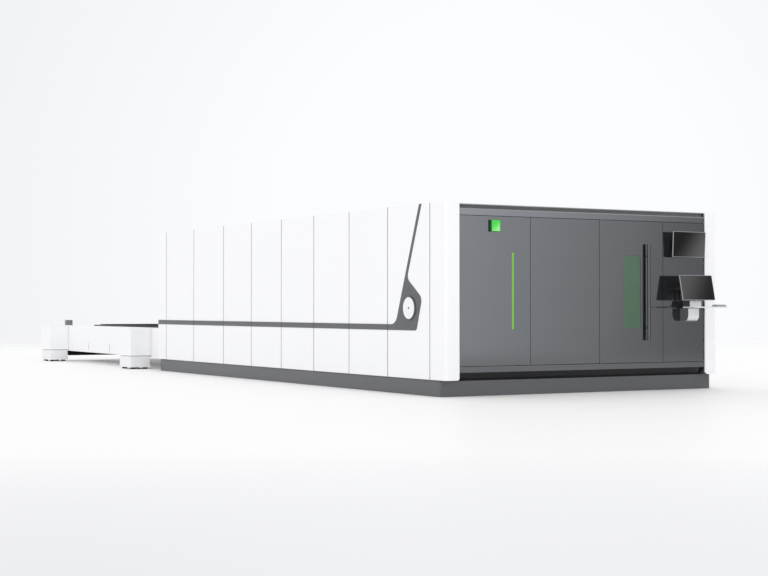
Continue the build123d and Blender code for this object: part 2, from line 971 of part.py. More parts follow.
def band(view, first, amount):
    """One strip on each panel from the given seam to the rear corner post."""
    starts = [seam + panel_gap / 2 for seam in seams[first:]]
    ends = [seam - panel_gap / 2 for seam in seams[first + 1 :]]
    ends.append(enclosure_length - post_corner_radius)
    with BuildSketch(view) as strips:
        for start, end in zip(starts, ends):
            mid, size = between(start, end)
            with Locations((mid, band_bottom + band_height / 2)):
                Rectangle(size, band_height)
    extrude(strips.sketch, amount=amount)


with BuildPart() as side_bands:
    band(left_view, 1, -trim_thickness)
    band(right_view, 0, trim_thickness)
finish(side_bands.part, "side_bands")

# Bed: two long welded boxes on feet, tied by low cross members
with BuildPart() as bed_sides:
    for hand in left_and_right:
        square_tube(
            on_side(hand, bed_inner, bed_outer),
            (front_y + bed_start, front_y + bed_end),
            (bed_foot_height, bed_top),
            "y",
            bed_wall,
        )
finish(bed_sides.part, "bed_sides")

bed_length = bed_end - bed_start
with BuildPart() as bed_cross_members:
    for i in range(bed_cross_count):
        low = front_y + bed_start + i * (bed_length - bed_cross_depth) / (bed_cross_count - 1)
        square_tube(
            (-bed_inner, bed_inner),
            (low, low + bed_cross_depth),
            (bed_cross_bottom, bed_cross_bottom + bed_cross_height),
            "x",
        )
finish(bed_cross_members.part, "bed_cross_members")

rack_top = bed_top - rack_drop
y_rail_top = bed_top + y_rail_height
y_rail_span = (front_y + bed_start + y_rail_margin, front_y + bed_end - y_rail_margin)
with BuildPart() as y_rails:
    for hand in left_and_right:
        block(
            on_side(hand, y_rail_centre - y_rail_width / 2, y_rail_centre + y_rail_width / 2),
            y_rail_span,
            (bed_top, y_rail_top),
        )
        block(
            on_side(hand, bed_outer, bed_outer + rack_size),
            y_rail_span,
            (rack_top - rack_size, rack_top),
        )
finish(y_rails.part, "y_rails")

with BuildPart() as machine_pallet_rails:
    for hand in left_and_right:
        block(
            on_side(hand, rail_inner, bed_inner),
            (front_y + machine_rail_start, front_y + machine_rail_end),
            (pallet_level - rail_thickness, pallet_level),
        )
finish(machine_pallet_rails.part, "machine_pallet_rails")

# Gantry beam: a hollow box with rounded edges
with BuildPart() as gantry_beam:
    z_mid = beam_bottom + beam_height / 2
    with BuildSketch(Plane((-beam_half_length, gantry_y, z_mid), x_dir=(0, 1, 0), z_dir=(1, 0, 0))):
        RectangleRounded(beam_depth, beam_height, beam_corner_radius)
        RectangleRounded(
            beam_depth - 2 * beam_wall,
            beam_height - 2 * beam_wall,
            beam_corner_radius - beam_wall,
            mode=Mode.SUBTRACT,
        )
    extrude(amount=2 * beam_half_length)
finish(gantry_beam.part, "gantry_beam")

# End plates under the beam, each with two grooved saddles over its rail
end_plate_low = beam_bottom - end_plate_thickness
with BuildPart() as gantry_ends:
    for hand in left_and_right:
        block(
            on_side(hand, end_plate_inner, end_plate_outer),
            (gantry_y - end_plate_depth / 2, gantry_y + end_plate_depth / 2),
            (end_plate_low, beam_bottom),
        )
        for end in left_and_right:
            saddle_y = gantry_y + end * (end_plate_depth - saddle_length) / 2
            saddle_span = (saddle_y - saddle_length / 2, saddle_y + saddle_length / 2)
            block(
                on_side(hand, y_rail_centre - saddle_width / 2, y_rail_centre + saddle_width / 2),
                saddle_span,
                (y_rail_top - saddle_skirt, end_plate_low),
            )
            groove = y_rail_width / 2 + rail_clearance
            block(
                on_side(hand, y_rail_centre - groove, y_rail_centre + groove),
                saddle_span,
                (y_rail_top - saddle_skirt, y_rail_top + rail_clearance),
                mode=Mode.SUBTRACT,
            )
finish(gantry_ends.part, "gantry_ends")

# Two rails on the beam's front with the flat magnet track of the cross drive between them
beam_front = gantry_y - beam_depth / 2
beam_middle = beam_bottom + beam_height / 2
with BuildPart() as x_rails:
    for end in left_and_right:
        rail_z = beam_middle + end * x_rail_spacing / 2
        block(
            (-x_rail_half_length, x_rail_half_length),
            (beam_front - x_rail_depth, beam_front),
            (rail_z - x_rail_width / 2, rail_z + x_rail_width / 2),
        )
    block(
        (-x_rail_half_length, x_rail_half_length),
        (beam_front - magnet_track_depth, beam_front),
        (beam_middle - magnet_track_width / 2, beam_middle + magnet_track_width / 2),
    )
finish(x_rails.part, "x_rails")

# Carriage on the beam: a plate with four grooved saddles, and two upright rails on its face
saddle_back = beam_front - saddle_skirt / 2
plate_back = beam_front - x_rail_depth - saddle_skirt
plate_front = plate_back - carriage_plate
with BuildPart() as carriage:
    block(
        (-carriage_width / 2, carriage_width / 2),
        (plate_front, plate_back),
        (carriage_bottom, carriage_top),
    )
    for end in left_and_right:
        rail_z = beam_middle + end * x_rail_spacing / 2
        for hand in left_and_right:
            saddle_x = hand * (carriage_width - x_saddle_length) / 2
            saddle_span = (saddle_x - x_saddle_length / 2, saddle_x + x_saddle_length / 2)
            block(
                saddle_span,
                (plate_back, saddle_back),
                (rail_z - x_saddle_height / 2, rail_z + x_saddle_height / 2),
            )
            groove = x_rail_width / 2 + rail_clearance
            block(
                saddle_span,
                (beam_front - x_rail_depth - rail_clearance, saddle_back),
                (rail_z - groove, rail_z + groove),
                mode=Mode.SUBTRACT,
            )
finish(carriage.part, "carriage")

z_rail_front = plate_front - z_rail_depth
with BuildPart() as z_rails:
    for hand in left_and_right:
        rail_x = hand * z_rail_spacing / 2
        block(
            (rail_x - z_rail_width / 2, rail_x + z_rail_width / 2),
            (z_rail_front, plate_front),
            (carriage_bottom, carriage_top),
        )
finish(z_rails.part, "z_rails")

# Lifting slide with its saddles, and the cutting head turned in steps down to the nozzle
slide_back = z_rail_front - rail_clearance - slide_plate / 2
slide_front = slide_back - slide_plate
slide_top = slide_bottom + slide_height
with BuildPart() as z_slide:
    block((-slide_width / 2, slide_width / 2), (slide_front, slide_back), (slide_bottom, slide_top))
    for hand in left_and_right:
        rail_x = hand * z_rail_spacing / 2
        for low in (slide_bottom + z_saddle_length, slide_top - 2 * z_saddle_length):
            block(
                (rail_x - z_saddle_width / 2, rail_x + z_saddle_width / 2),
                (slide_back, plate_front - rail_clearance - z_rail_depth / 3),
                (low, low + z_saddle_length),
            )
            groove = z_rail_width / 2 + rail_clearance
            block(
                (rail_x - groove, rail_x + groove),
                (z_rail_front - rail_clearance, plate_front),
                (low, low + z_saddle_length),
                mode=Mode.SUBTRACT,
            )
finish(z_slide.part, "z_slide")

head_y = slide_front - head_radius
head_profile = [
    (nozzle_radius, nozzle_tip),
    (nozzle_base_radius, nozzle_tip + nozzle_length),
    (sensor_radius, nozzle_tip + nozzle_length),
    (sensor_radius, nozzle_tip + sensor_top),
    (head_radius, nozzle_tip + cone_top),
    (head_radius, nozzle_tip + barrel_top),
    (fibre_radius, nozzle_tip + barrel_top + fibre_shoulder),
    (fibre_radius, nozzle_tip + fibre_top),
]
with BuildPart() as cutting_head:
    with BuildSketch(Plane((0, head_y, 0), x_dir=(1, 0, 0), z_dir=(0, -1, 0))):
        with BuildLine():
            Polyline((0, nozzle_tip), *head_profile, (0, nozzle_tip + fibre_top), close=True)
        make_face()
    revolve(axis=Axis((0, head_y, 0), (0, 0, 1)))
finish(cutting_head.part, "cutting_head")

# Gantry drives: under each end plate a toothed pinion runs beside the rack
pinion_x = bed_outer + rack_size + pinion_radius + rail_clearance
pinion_band = (rack_top - rack_size, rack_top)


def pinion(x):
    """A spur pinion on its shaft, standing upright."""
    root = pinion_radius - pinion_tooth_height
    tooth_width = pi * pinion_radius / pinion_teeth
    tooth_height = pinion_tooth_height + pinion_tooth_root
    with BuildSketch(Plane((x, gantry_y, pinion_band[0]))) as wheel:
        Circle(root)
        with PolarLocations(pinion_radius - tooth_height / 2, pinion_teeth):
            Trapezoid(tooth_height, tooth_width, pinion_flank_angle, rotation=-90)
    extrude(wheel.sketch, amount=rack_size)
    shaft_top = end_plate_low - arm_clearance
    rod((x, gantry_y, pinion_band[1]), (x, gantry_y, shaft_top), pinion_shaft_radius)


with BuildPart() as left_pinion:
    pinion(-pinion_x)
finish(left_pinion.part, "left_pinion")

with BuildPart() as right_pinion:
    pinion(pinion_x)
finish(right_pinion.part, "right_pinion")

# Exchange table: four legs, each a pedestal with a column inside a lifting sleeve
leg_starts = [front_y + enclosure_length + near_leg_gap]
leg_starts.append(leg_starts[0] + leg_spacing)
leg_middle = leg_outer - leg_width / 2

with BuildPart() as pedestals:
    for hand in left_and_right:
        for start in leg_starts:
            leg_y = start + leg_depth / 2
            with BuildSketch(Plane((hand * leg_middle, leg_y, pedestal_bottom))) as foot_box:
                RectangleRounded(
                    leg_width - 2 * pedestal_inset,
                    leg_depth - 2 * pedestal_inset,
                    sleeve_corner_radius,
                )
            extrude(foot_box.sketch, amount=pedestal_top - pedestal_bottom)
            with BuildSketch(Plane((hand * leg_middle, leg_y, pedestal_top))) as post:
                Rectangle(column, column)
            extrude(post.sketch, amount=column_top - pedestal_top)
            rod(
                (hand * leg_middle, leg_y, column_top),
                (hand * leg_middle, leg_y, column_top - jack_bore_depth),
                jack_radius + running_clearance,
                mode=Mode.SUBTRACT,
            )
finish(pedestals.part, "pedestals")

# Levelling feet under the base frame, the bed and the pedestals
foot_start = plinth_front + panel_depth + foot_margin
foot_span = plinth_rear - panel_depth - foot_margin - foot_start
pedestal_feet = [
    (inner, along)
    for inner in (pedestal_foot_inset, leg_width - pedestal_foot_inset)
    for along in (pedestal_foot_inset, leg_depth - pedestal_foot_inset)
]
with BuildPart() as levelling_feet:
    for hand in left_and_right:
        for i in range(feet_per_side):
            spot = (hand * (side - foot_inset), foot_start + i * foot_span / (feet_per_side - 1))
            rod((*spot, 0), (*spot, foot_pad_height), foot_pad_radius)
            rod((*spot, 0), (*spot, plinth_height), foot_stem_radius)
        for i in range(bed_feet_per_side):
            bed_foot_y = front_y + bed_start + bed_length * (i + 0.5) / bed_feet_per_side
            spot = (hand * (bed_inner + bed_outer) / 2, bed_foot_y)
            rod((*spot, 0), (*spot, bed_foot_height), bed_foot_radius)
        for start in leg_starts:
            for inner, along in pedestal_feet:
                spot = (hand * (beam_outer_x + inner), start + along)
                rod((*spot, 0), (*spot, pedestal_bottom), pedestal_foot_radius)
finish(levelling_feet.part, "levelling_feet")

with BuildPart() as lift_sleeves:
    for hand in left_and_right:
        for start in leg_starts:
            sleeve_floor = Plane((hand * leg_middle, start + leg_depth / 2, sleeve_bottom))
            rounded_slab(
                sleeve_floor, leg_width, leg_depth, sleeve_corner_radius, sleeve_top - sleeve_bottom
            )
            rounded_slab(
                sleeve_floor,
                leg_width - 2 * sleeve_wall,
                leg_depth - 2 * sleeve_wall,
                sleeve_corner_radius - sleeve_wall,
                sleeve_top - sleeve_bottom - sleeve_wall,
                mode=Mode.SUBTRACT,
            )
finish(lift_sleeves.part, "lift_sleeves")

# Jack rods hang from the sleeve tops into the bored columns
jack_low = column_top - jack_bore_depth + table_beam_wall
with BuildPart() as jack_rods:
    for hand in left_and_right:
        for start in leg_starts:
            leg_y = start + leg_depth / 2
            rod(
                (hand * leg_middle, leg_y, jack_low),
                (hand * leg_middle, leg_y, sleeve_top - sleeve_wall),
                jack_radius,
            )
finish(jack_rods.part, "jack_rods")

# White side beams: folded channels with turned lips and two slots
beam_start = rear_y + beam_gap
with BuildPart() as table_side_beams:
    for hand in left_and_right:
        beam_z = (table_beam_bottom, table_beam_top)
        beam_y = (beam_start, front_y + table_beam_end)
        block(on_side(hand, beam_inner_x, beam_outer_x), beam_y, beam_z)
        block(
            on_side(hand, beam_inner_x + table_beam_wall, beam_outer_x - table_beam_wall),
            beam_y,
            (table_beam_bottom + table_beam_wall, table_beam_top - table_beam_wall),
            mode=Mode.SUBTRACT,
        )
        block(
            on_side(hand, beam_inner_x, beam_inner_x + table_beam_wall),
            beam_y,
            (table_beam_bottom + table_beam_lip, table_beam_top - table_beam_lip),
            mode=Mode.SUBTRACT,
        )
        for place in beam_slot_positions:
            block(
                on_side(hand, beam_outer_x - table_beam_wall, beam_outer_x),
                (front_y + place - beam_slot_width / 2, front_y + place + beam_slot_width / 2),
                (beam_slot_bottom, beam_slot_bottom + beam_slot_height),
                mode=Mode.SUBTRACT,
            )
finish(table_side_beams.part, "table_side_beams")

# Cross beams under the lower rails; the one at the far end is deeper
upper_level = pallet_level
lower_level = pallet_level - level_spacing
cross_beams = [(place, table_beam_bottom) for place in cross_positions]
cross_beams.append((end_cross_position, end_cross_bottom))
with BuildPart() as table_cross_beams:
    for place, low in cross_beams:
        square_tube(
            (-beam_inner_x, beam_inner_x),
            (front_y + place - cross_depth / 2, front_y + place + cross_depth / 2),
            (low, lower_level - rail_thickness),
            "x",
        )
finish(table_cross_beams.part, "table_cross_beams")

# Two pairs of rails on the lifting table, the ribs that hold them off the side beams, and stops


def rail_pair(level):
    for hand in left_and_right:
        block(
            on_side(hand, rail_inner, rail_outer),
            (beam_start, front_y + table_rail_end),
            (level - rail_thickness, level),
        )


with BuildPart() as table_rails:
    for table_level in (upper_level, lower_level):
        rail_pair(table_level)
finish(table_rails.part, "table_rails")

with BuildPart() as rail_ribs:
    for hand in left_and_right:
        for place in rib_positions:
            x_mid, x_size = between(*on_side(hand, rail_outer, beam_outer_x - table_beam_wall))
            z_mid, z_size = between(table_beam_bottom + table_beam_lip, upper_level)
            rib_plane = Plane(
                (x_mid, front_y + place, z_mid), x_dir=(1, 0, 0), z_dir=(0, -1, 0)
            )
            with BuildSketch(rib_plane) as rib:
                Rectangle(x_size, z_size)
                RectangleRounded(
                    x_size - 2 * rib_window_margin,
                    z_size - 2 * rib_window_margin,
                    rib_window_corner,
                    mode=Mode.SUBTRACT,
                )
            extrude(rib.sketch, amount=rib_thickness / 2, both=True)
        stop_y = front_y + table_beam_end - stop_from_beam_end
        block(
            on_side(hand, beam_inner_x, beam_outer_x),
            (stop_y - stop_size, stop_y),
            (table_beam_top, table_beam_top + stop_size),
        )
finish(rail_ribs.part, "rail_ribs")


# Pallets: side bars with bearing blocks, cross tubes, slats and two wheelsets each
def pallet_sides(drop):
    start = front_y + pallet_start
    frame_low = pallet_frame_bottom - drop
    for hand in left_and_right:
        block(
            on_side(hand, pallet_half_width - pallet_side_tube, pallet_half_width),
            (start, start + pallet_length),
            (frame_low, frame_low + pallet_tube + slat_height),
        )
        for place in axle_positions:
            block(
                on_side(hand, pallet_half_width - pallet_side_tube, pallet_half_width),
                (start + place - bearing_length / 2, start + place + bearing_length / 2),
                (frame_low - bearing_drop, frame_low),
            )
            axle_y = start + place
            rod(
                (hand * (pallet_half_width - pallet_side_tube), axle_y, axle_level - drop),
                (hand * pallet_half_width, axle_y, axle_level - drop),
                axle_radius + running_clearance,
                mode=Mode.SUBTRACT,
            )


def pallet_cross_tubes(drop):
    start = front_y + pallet_start
    frame_low = pallet_frame_bottom - drop
    inner = pallet_half_width - pallet_side_tube
    for i in range(pallet_cross_count):
        low = start + i * (pallet_length - pallet_tube) / (pallet_cross_count - 1)
        square_tube(
            (-inner, inner), (low, low + pallet_tube), (frame_low, frame_low + pallet_tube), "x"
        )


def pallet_slats(drop):
    start = front_y + pallet_start
    slat_low = pallet_frame_bottom + pallet_tube - drop
    inner = pallet_half_width - pallet_side_tube
    count = int((pallet_length - 2 * slat_margin) / slat_pitch) + 1
    for i in range(count):
        low = start + slat_margin + i * slat_pitch
        block((-inner, inner), (low, low + slat_thickness), (slat_low, slat_low + slat_height))


def wheelset(drop, place):
    axle_y = front_y + pallet_start + place
    level = axle_level - drop
    wheel_inner = pallet_half_width + wheel_gap
    wheel_outer = wheel_inner + wheel_width
    rod((-wheel_outer, axle_y, level), (wheel_outer, axle_y, level), axle_radius)
    for hand in left_and_right:
        rod((hand * wheel_inner, axle_y, level), (hand * wheel_outer, axle_y, level), wheel_radius)


for level_name, level_drop in (("upper", 0), ("lower", level_spacing)):
    with BuildPart() as pallet_side_frame:
        pallet_sides(level_drop)
    finish(pallet_side_frame.part, f"{level_name}_pallet_sides")

    with BuildPart() as grate:
        pallet_cross_tubes(level_drop)
        pallet_slats(level_drop)
    finish(grate.part, f"{level_name}_pallet_grate")

    for number, axle_place in enumerate(axle_positions, start=1):
        with BuildPart() as wheels:
            wheelset(level_drop, axle_place)
        finish(wheels.part, f"{level_name}_wheelset_{number}")
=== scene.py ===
import json
import math

import bmesh
import bpy
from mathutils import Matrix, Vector

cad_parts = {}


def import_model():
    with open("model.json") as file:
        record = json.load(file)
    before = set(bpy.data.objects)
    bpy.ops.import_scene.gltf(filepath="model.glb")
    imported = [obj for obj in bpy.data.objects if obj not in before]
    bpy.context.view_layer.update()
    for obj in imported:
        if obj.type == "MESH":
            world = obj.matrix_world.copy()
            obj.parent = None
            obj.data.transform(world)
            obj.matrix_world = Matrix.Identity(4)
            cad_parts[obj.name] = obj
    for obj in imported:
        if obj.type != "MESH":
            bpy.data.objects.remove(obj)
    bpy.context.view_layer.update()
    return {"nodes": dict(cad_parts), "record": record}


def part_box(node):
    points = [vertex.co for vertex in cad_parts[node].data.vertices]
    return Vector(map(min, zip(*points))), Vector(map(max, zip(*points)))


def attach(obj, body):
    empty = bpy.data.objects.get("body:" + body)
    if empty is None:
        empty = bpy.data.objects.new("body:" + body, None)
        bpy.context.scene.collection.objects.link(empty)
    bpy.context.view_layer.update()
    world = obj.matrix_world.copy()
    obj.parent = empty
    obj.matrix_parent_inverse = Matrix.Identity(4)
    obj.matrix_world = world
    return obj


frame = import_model()
nodes = frame["nodes"]

# Camera: where the photograph was taken from, low and in front of the left corner
CAMERA_PLACE = (-11.374, -21.827, 1.031)
CAMERA_TURN = (90.731, 0, -29.852)
CAMERA_LENS = 71.94
SENSOR_WIDTH = 36
CAMERA_REACH = 300

# Lights: an even world, and two broad suns with their strengths and directions
WORLD_LIGHT = 0.96
SIDE_LIGHT, SIDE_LIGHT_WAY = 0.20, (0.85, 0.25, -0.46)
FRONT_LIGHT, FRONT_LIGHT_WAY = 0.22, (0.15, 0.95, -0.30)
SUN_SPREAD = 100

# Room that the gloss sees: where it starts and ends, across and upwards, and its brightness there
ROOM_LEFT, ROOM_LEFT_GLOW = 0.54, 1.59
ROOM_RIGHT, ROOM_RIGHT_GLOW = 0.74, 0.04
ROOM_LOW, ROOM_LOW_SHARE = -0.06, 1.0
ROOM_HIGH, ROOM_HIGH_SHARE = 0.06, 1.12
ROOM_IN_FULL = -0.4

# Background: brightest in one direction, and a little duller away from it
BACKGROUND = (0.972, 0.978, 1.0, 1)
BACKGROUND_MIDDLE = (0.556, 0.830, 0.050)
BACKGROUND_EDGE = 0.915
FALL_START, FALL_END = 0.14, 0.33

# Floor: darker near the camera as painted shade, and clear from some way off, so that it fades into
# the background
FLOOR_NEAR_PAINTED_SHADE = (0.77, 0.776, 0.80)
FLOOR_FAR = (0.985, 0.985, 0.988)
FLOOR_ROUGH = 0.5
FLOOR_SPECULAR = 0.06
FLOOR_REACH = 120
PAINTED_SHADE_WITHIN, BRIGHT_BEYOND = 5.5, 11
FADE_START, FADE_END = 11, 26

# Colours of the finishes, linear; some are painted shade, a painted highlight or a painted spill of
# light, as their names say
WHITE = (0.925, 0.93, 0.945)
PEDESTAL_WHITE = (0.87, 0.875, 0.885)
COVER_WHITE = (0.90, 0.905, 0.915)
TRAY_SHADED_GREY = (0.76, 0.765, 0.78)
FRONT_BLACK = (0.014, 0.014, 0.015)
FRONT_SHEEN = (0.91, 0.955, 1.0, 1)
UNDERCUT_PAINTED_SHADE = (0.012, 0.012, 0.013)
COVE_PAINTED_SHADING = (0.20, 0.205, 0.21)
PLINTH_GREY = (0.081, 0.084, 0.092)
TRIM_GREY = (0.095, 0.098, 0.105)
FRAME_GREY = (0.30, 0.31, 0.33)
BED_GREY = (0.62, 0.64, 0.67)
PALLET_BLACK = (0.055, 0.056, 0.060)
UNDER_BEAM_PAINTED_SHADE = (0.010, 0.010, 0.011)
OVER_BEAM_GREY = (0.20, 0.205, 0.215)
BRACKET_GREY = (0.13, 0.133, 0.14)
HANDLE_BLACK = (0.003, 0.003, 0.004)
NECK_SIDE_PAINTED_SHADE = (0.06, 0.061, 0.065)
MOTOR_BLACK = (0.02, 0.02, 0.022)
SEAL_BLACK = (0.018, 0.018, 0.020)
FOOT_BLACK = (0.022, 0.022, 0.023)
KEYBOARD_GREY = (0.34, 0.345, 0.36)
KEY_CAP_GREY = (0.42, 0.43, 0.45)
MONITOR_EDGE_GREY = (0.42, 0.43, 0.44)
RAIL_GREY = (0.52, 0.53, 0.54)
ALLOY_GREY = (0.66, 0.67, 0.69)
ARM_GREY = (0.74, 0.75, 0.77)
WINDOW_GREEN = (0.065, 0.135, 0.080)
LED_GREEN = (0.15, 0.50, 0.035)
LAMP_GREEN = (0.04, 0.62, 0.045)
LAMP_PAINTED_HIGHLIGHT = (0.30, 0.85, 0.26)
LAMP_PAINTED_SPILL = (0.01, 0.22, 0.015)
LAMP_DARK = (0, 0, 0)
LAMP_BLACK = (0.010, 0.020, 0.011)
LENS_BASE = (0, 0.02, 0)
HOUSING_BASE = (0.006, 0.01, 0.006)

# Gloss of the front, and where painted shade starts over a paint: by the way a face looks, or by its
# height
FRONT_IOR = 2.05
HEADER_IOR = 2.3
UNDERCUT_SHADE_FACING = 0.4
NECK_SHADE_FACING = 0.6
COVE_HEIGHT = 0.062

# Roughness of glass, lenses and screens
GLASS_ROUGH = 0.06
SCREEN_ROUGH, SCREEN_SPECULAR = 0.12, 0.12
STRIP_ROUGH = 0.25
LENS_ROUGH = 0.3

# Noise of the finishes: the range that it mostly stays in, and for each kind of finish its cells
# per metre, the depth of its bumps in metres, how far it moves the colour, and the two shares of
# the roughness between which it moves the gloss
NOISE_LOW, NOISE_HIGH = 0.3, 0.7
PAINT_DRIFT = 1.3
PAINT_PEEL, PEEL_DEPTH = 420, 0.0004
PAINT_GLOSS = (0.9, 1.1)
METAL_DRIFT = 2.5
METAL_LINES, LINE_DEPTH, LINE_STRENGTH = 60, 0.0005, 0.08
METAL_GLOSS = (0.75, 1.3)
PLASTIC_DRIFT, PLASTIC_TINT = 6, 0.06
PLASTIC_GRAIN, GRAIN_DEPTH, GRAIN_STRENGTH = 900, 0.0002, 0.2
PLASTIC_GLOSS = (0.85, 1.15)
STRIP_BANDS, STRIP_TINT = 30, 0.12
GLASS_DRIFT, GLASS_TINT = 3, 0.1

# How far both monitors lean back, in degrees
LOWER_TILT = 12.6
UPPER_TILT = -3


# Helpers for node trees
def connect(tree, node, inputs):
    """Feeds inputs of a node, by name or number, with outputs or with plain values."""
    for key, value in inputs.items():
        if isinstance(value, bpy.types.NodeSocket):
            tree.links.new(value, node.inputs[key])
        else:
            node.inputs[key].default_value = value


def mapped(tree, source, start, end, low=0, high=1, curve="LINEAR"):
    """Maps the range from start to end onto the range from low to high."""
    node = tree.nodes.new("ShaderNodeMapRange")
    node.interpolation_type = curve
    ends = {"From Min": start, "From Max": end, "To Min": low, "To Max": high}
    connect(tree, node, {"Value": source, **ends})
    return node.outputs["Result"]


def calculated(tree, operation, first, second):
    """What an operation makes of two numbers."""
    node = tree.nodes.new("ShaderNodeMath")
    node.operation = operation
    connect(tree, node, {0: first, 1: second})
    return node.outputs["Value"]


def measured(tree, operation, source, vector):
    """The number that an operation finds from two vectors."""
    node = tree.nodes.new("ShaderNodeVectorMath")
    node.operation = operation
    connect(tree, node, {0: source, 1: vector})
    return node.outputs["Value"]


def mixed(tree, share, first, second, kind="RGBA"):
    """One value where share is 0 and another where it is 1."""
    node = tree.nodes.new("ShaderNodeMix")
    node.data_type = kind
    connect(tree, node, {"Factor": share, "A": first, "B": second})
    return node.outputs["Result"]


def blended(tree, share, first, second):
    """One plain colour where share is 0 and another where it is 1."""
    return mixed(tree, share, (*first, 1), (*second, 1))


def own_space(tree):
    """The place of a point in the object's own space."""
    return tree.nodes.new("ShaderNodeTexCoord").outputs["Object"]


def parts_of(tree, vector):
    """The three numbers of a vector, by name."""
    node = tree.nodes.new("ShaderNodeSeparateXYZ")
    connect(tree, node, {"Vector": vector})
    return node.outputs


def shader_mix(tree, share, first, second):
    """One shader where share is 0 and another where it is 1."""
    node = tree.nodes.new("ShaderNodeMixShader")
    connect(tree, node, {"Fac": share, 1: first, 2: second})
    return node.outputs["Shader"]


def noise(tree, scale, detail, stretch=(1, 1, 1)):
    """Noise in the object's own space, which may be stretched along an axis."""
    mapping = tree.nodes.new("ShaderNodeMapping")
    connect(tree, mapping, {"Vector": own_space(tree), "Scale": stretch})
    texture = tree.nodes.new("ShaderNodeTexNoise")
    place = mapping.outputs["Vector"]
    connect(tree, texture, {"Vector": place, "Scale": scale, "Detail": detail})
    return texture.outputs["Fac"]


def tint(tree, source, colour, amount):
    """A colour that drifts a little darker and lighter with the source."""
    darker = [c * (1 - amount) for c in colour]
    lighter = [min(1, c * (1 + amount)) for c in colour]
    return blended(tree, source, darker, lighter)


def gloss(tree, source, rough, shares):
    """A roughness that moves with the noise between two shares of its value."""
    low, high = [rough * share for share in shares]
    return mapped(tree, source, NOISE_LOW, NOISE_HIGH, low, high)


def bump(tree, source, strength, distance):
    """Normals of a surface that rises and falls with the source."""
    node = tree.nodes.new("ShaderNodeBump")
    connect(tree, node, {"Height": source, "Strength": strength, "Distance": distance})
    return node.outputs["Normal"]


def facing(tree, direction, edge):
    """1 on faces that point along direction by more than edge, and 0 elsewhere."""
    surface = tree.nodes.new("ShaderNodeNewGeometry")
    along = measured(tree, "DOT_PRODUCT", surface.outputs["Normal"], direction)
    return calculated(tree, "GREATER_THAN", along, edge)


def above(tree, height):
    """1 above a height in the object's own space, and 0 below."""
    return calculated(tree, "GREATER_THAN", parts_of(tree, own_space(tree))["Z"], height)


def share_along(tree, node, start, end):
    """0 at one point of a node's box and 1 at another; both points are shares of the box."""
    low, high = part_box(node)
    size = Vector(high) - Vector(low)
    inside = nodes[node].matrix_world.inverted()
    first, last = [
        inside @ (Vector(low) + Vector([s * share for s, share in zip(size, point)]))
        for point in (start, end)
    ]
    way = last - first
    along = measured(tree, "DOT_PRODUCT", own_space(tree), way / way.length_squared)
    near, far = [point.dot(way) / way.length_squared for point in (first, last)]
    return mapped(tree, along, near, far, curve="SMOOTHSTEP")


# Kinds of material
def new_material(name):
    """A new node material, its tree and its shader."""
    material = bpy.data.materials.new(name)
    material.use_nodes = True
    return material, material.node_tree, material.node_tree.nodes["Principled BSDF"]


def painted(name, colour, rough, drift=0.03, peel=0.05, specular=0.5, ior=1.5):
    """Sprayed paint: a slow drift of colour, uneven gloss and fine orange peel."""
    material, tree, shader = new_material(name)
    slow = noise(tree, PAINT_DRIFT, detail=3)
    fine = noise(tree, PAINT_PEEL, detail=2)
    inputs = {
        "Base Color": tint(tree, slow, colour, drift),
        "Roughness": gloss(tree, slow, rough, PAINT_GLOSS),
        "Normal": bump(tree, fine, peel, PEEL_DEPTH),
        "Specular IOR Level": specular,
        "IOR": ior,
    }
    connect(tree, shader, inputs)
    return material


def front_gloss(name, ior=FRONT_IOR):
    """The dark mirror paint of the front, whose sheen is a little blue."""
    material = painted(name, FRONT_BLACK, rough=0.07, peel=0, ior=ior)
    shader = material.node_tree.nodes["Principled BSDF"]
    shader.inputs["Specular Tint"].default_value = FRONT_SHEEN
    return material


def masked_overlay(material, mask, colour, specular):
    """Lays a second colour and gloss over a paint where mask is 1: here mostly painted shade, and
    once the table stops' own grey paint.
    """
    tree = material.node_tree
    shader = tree.nodes["Principled BSDF"]
    first_colour = shader.inputs["Base Color"].links[0].from_socket
    first_specular = shader.inputs["Specular IOR Level"].default_value
    share = mask(tree)
    inputs = {
        "Base Color": mixed(tree, share, first_colour, (*colour, 1)),
        "Specular IOR Level": mapped(tree, share, 0, 1, first_specular, specular),
    }
    connect(tree, shader, inputs)
    return material


def metal(name, colour, rough, stretch, drift=0.06):
    """Machined or drawn metal with fine lines along one axis."""
    material, tree, shader = new_material(name)
    lines = noise(tree, METAL_LINES, detail=4, stretch=stretch)
    slow = noise(tree, METAL_DRIFT, detail=3)
    inputs = {
        "Base Color": tint(tree, slow, colour, drift),
        "Roughness": gloss(tree, lines, rough, METAL_GLOSS),
        "Normal": bump(tree, lines, LINE_STRENGTH, LINE_DEPTH),
        "Metallic": 1,
    }
    connect(tree, shader, inputs)
    return material


def plastic(name, colour, rough):
    """Moulded plastic or rubber with a fine grain."""
    material, tree, shader = new_material(name)
    fine = noise(tree, PLASTIC_GRAIN, detail=3)
    slow = noise(tree, PLASTIC_DRIFT, detail=2)
    inputs = {
        "Base Color": tint(tree, slow, colour, PLASTIC_TINT),
        "Roughness": gloss(tree, fine, rough, PLASTIC_GLOSS),
        "Normal": bump(tree, fine, GRAIN_STRENGTH, GRAIN_DEPTH),
    }
    connect(tree, shader, inputs)
    return material


def screen(name, node, start, end, dark, light):
    """Screen glass whose base colour carries a painted sheen, growing between two points of its box.
    """
    material, tree, shader = new_material(name)
    inputs = {
        "Base Color": blended(tree, share_along(tree, node, start, end), [dark] * 3, [light] * 3),
        "Roughness": SCREEN_ROUGH,
        "Specular IOR Level": SCREEN_SPECULAR,
    }
    connect(tree, shader, inputs)
    return material


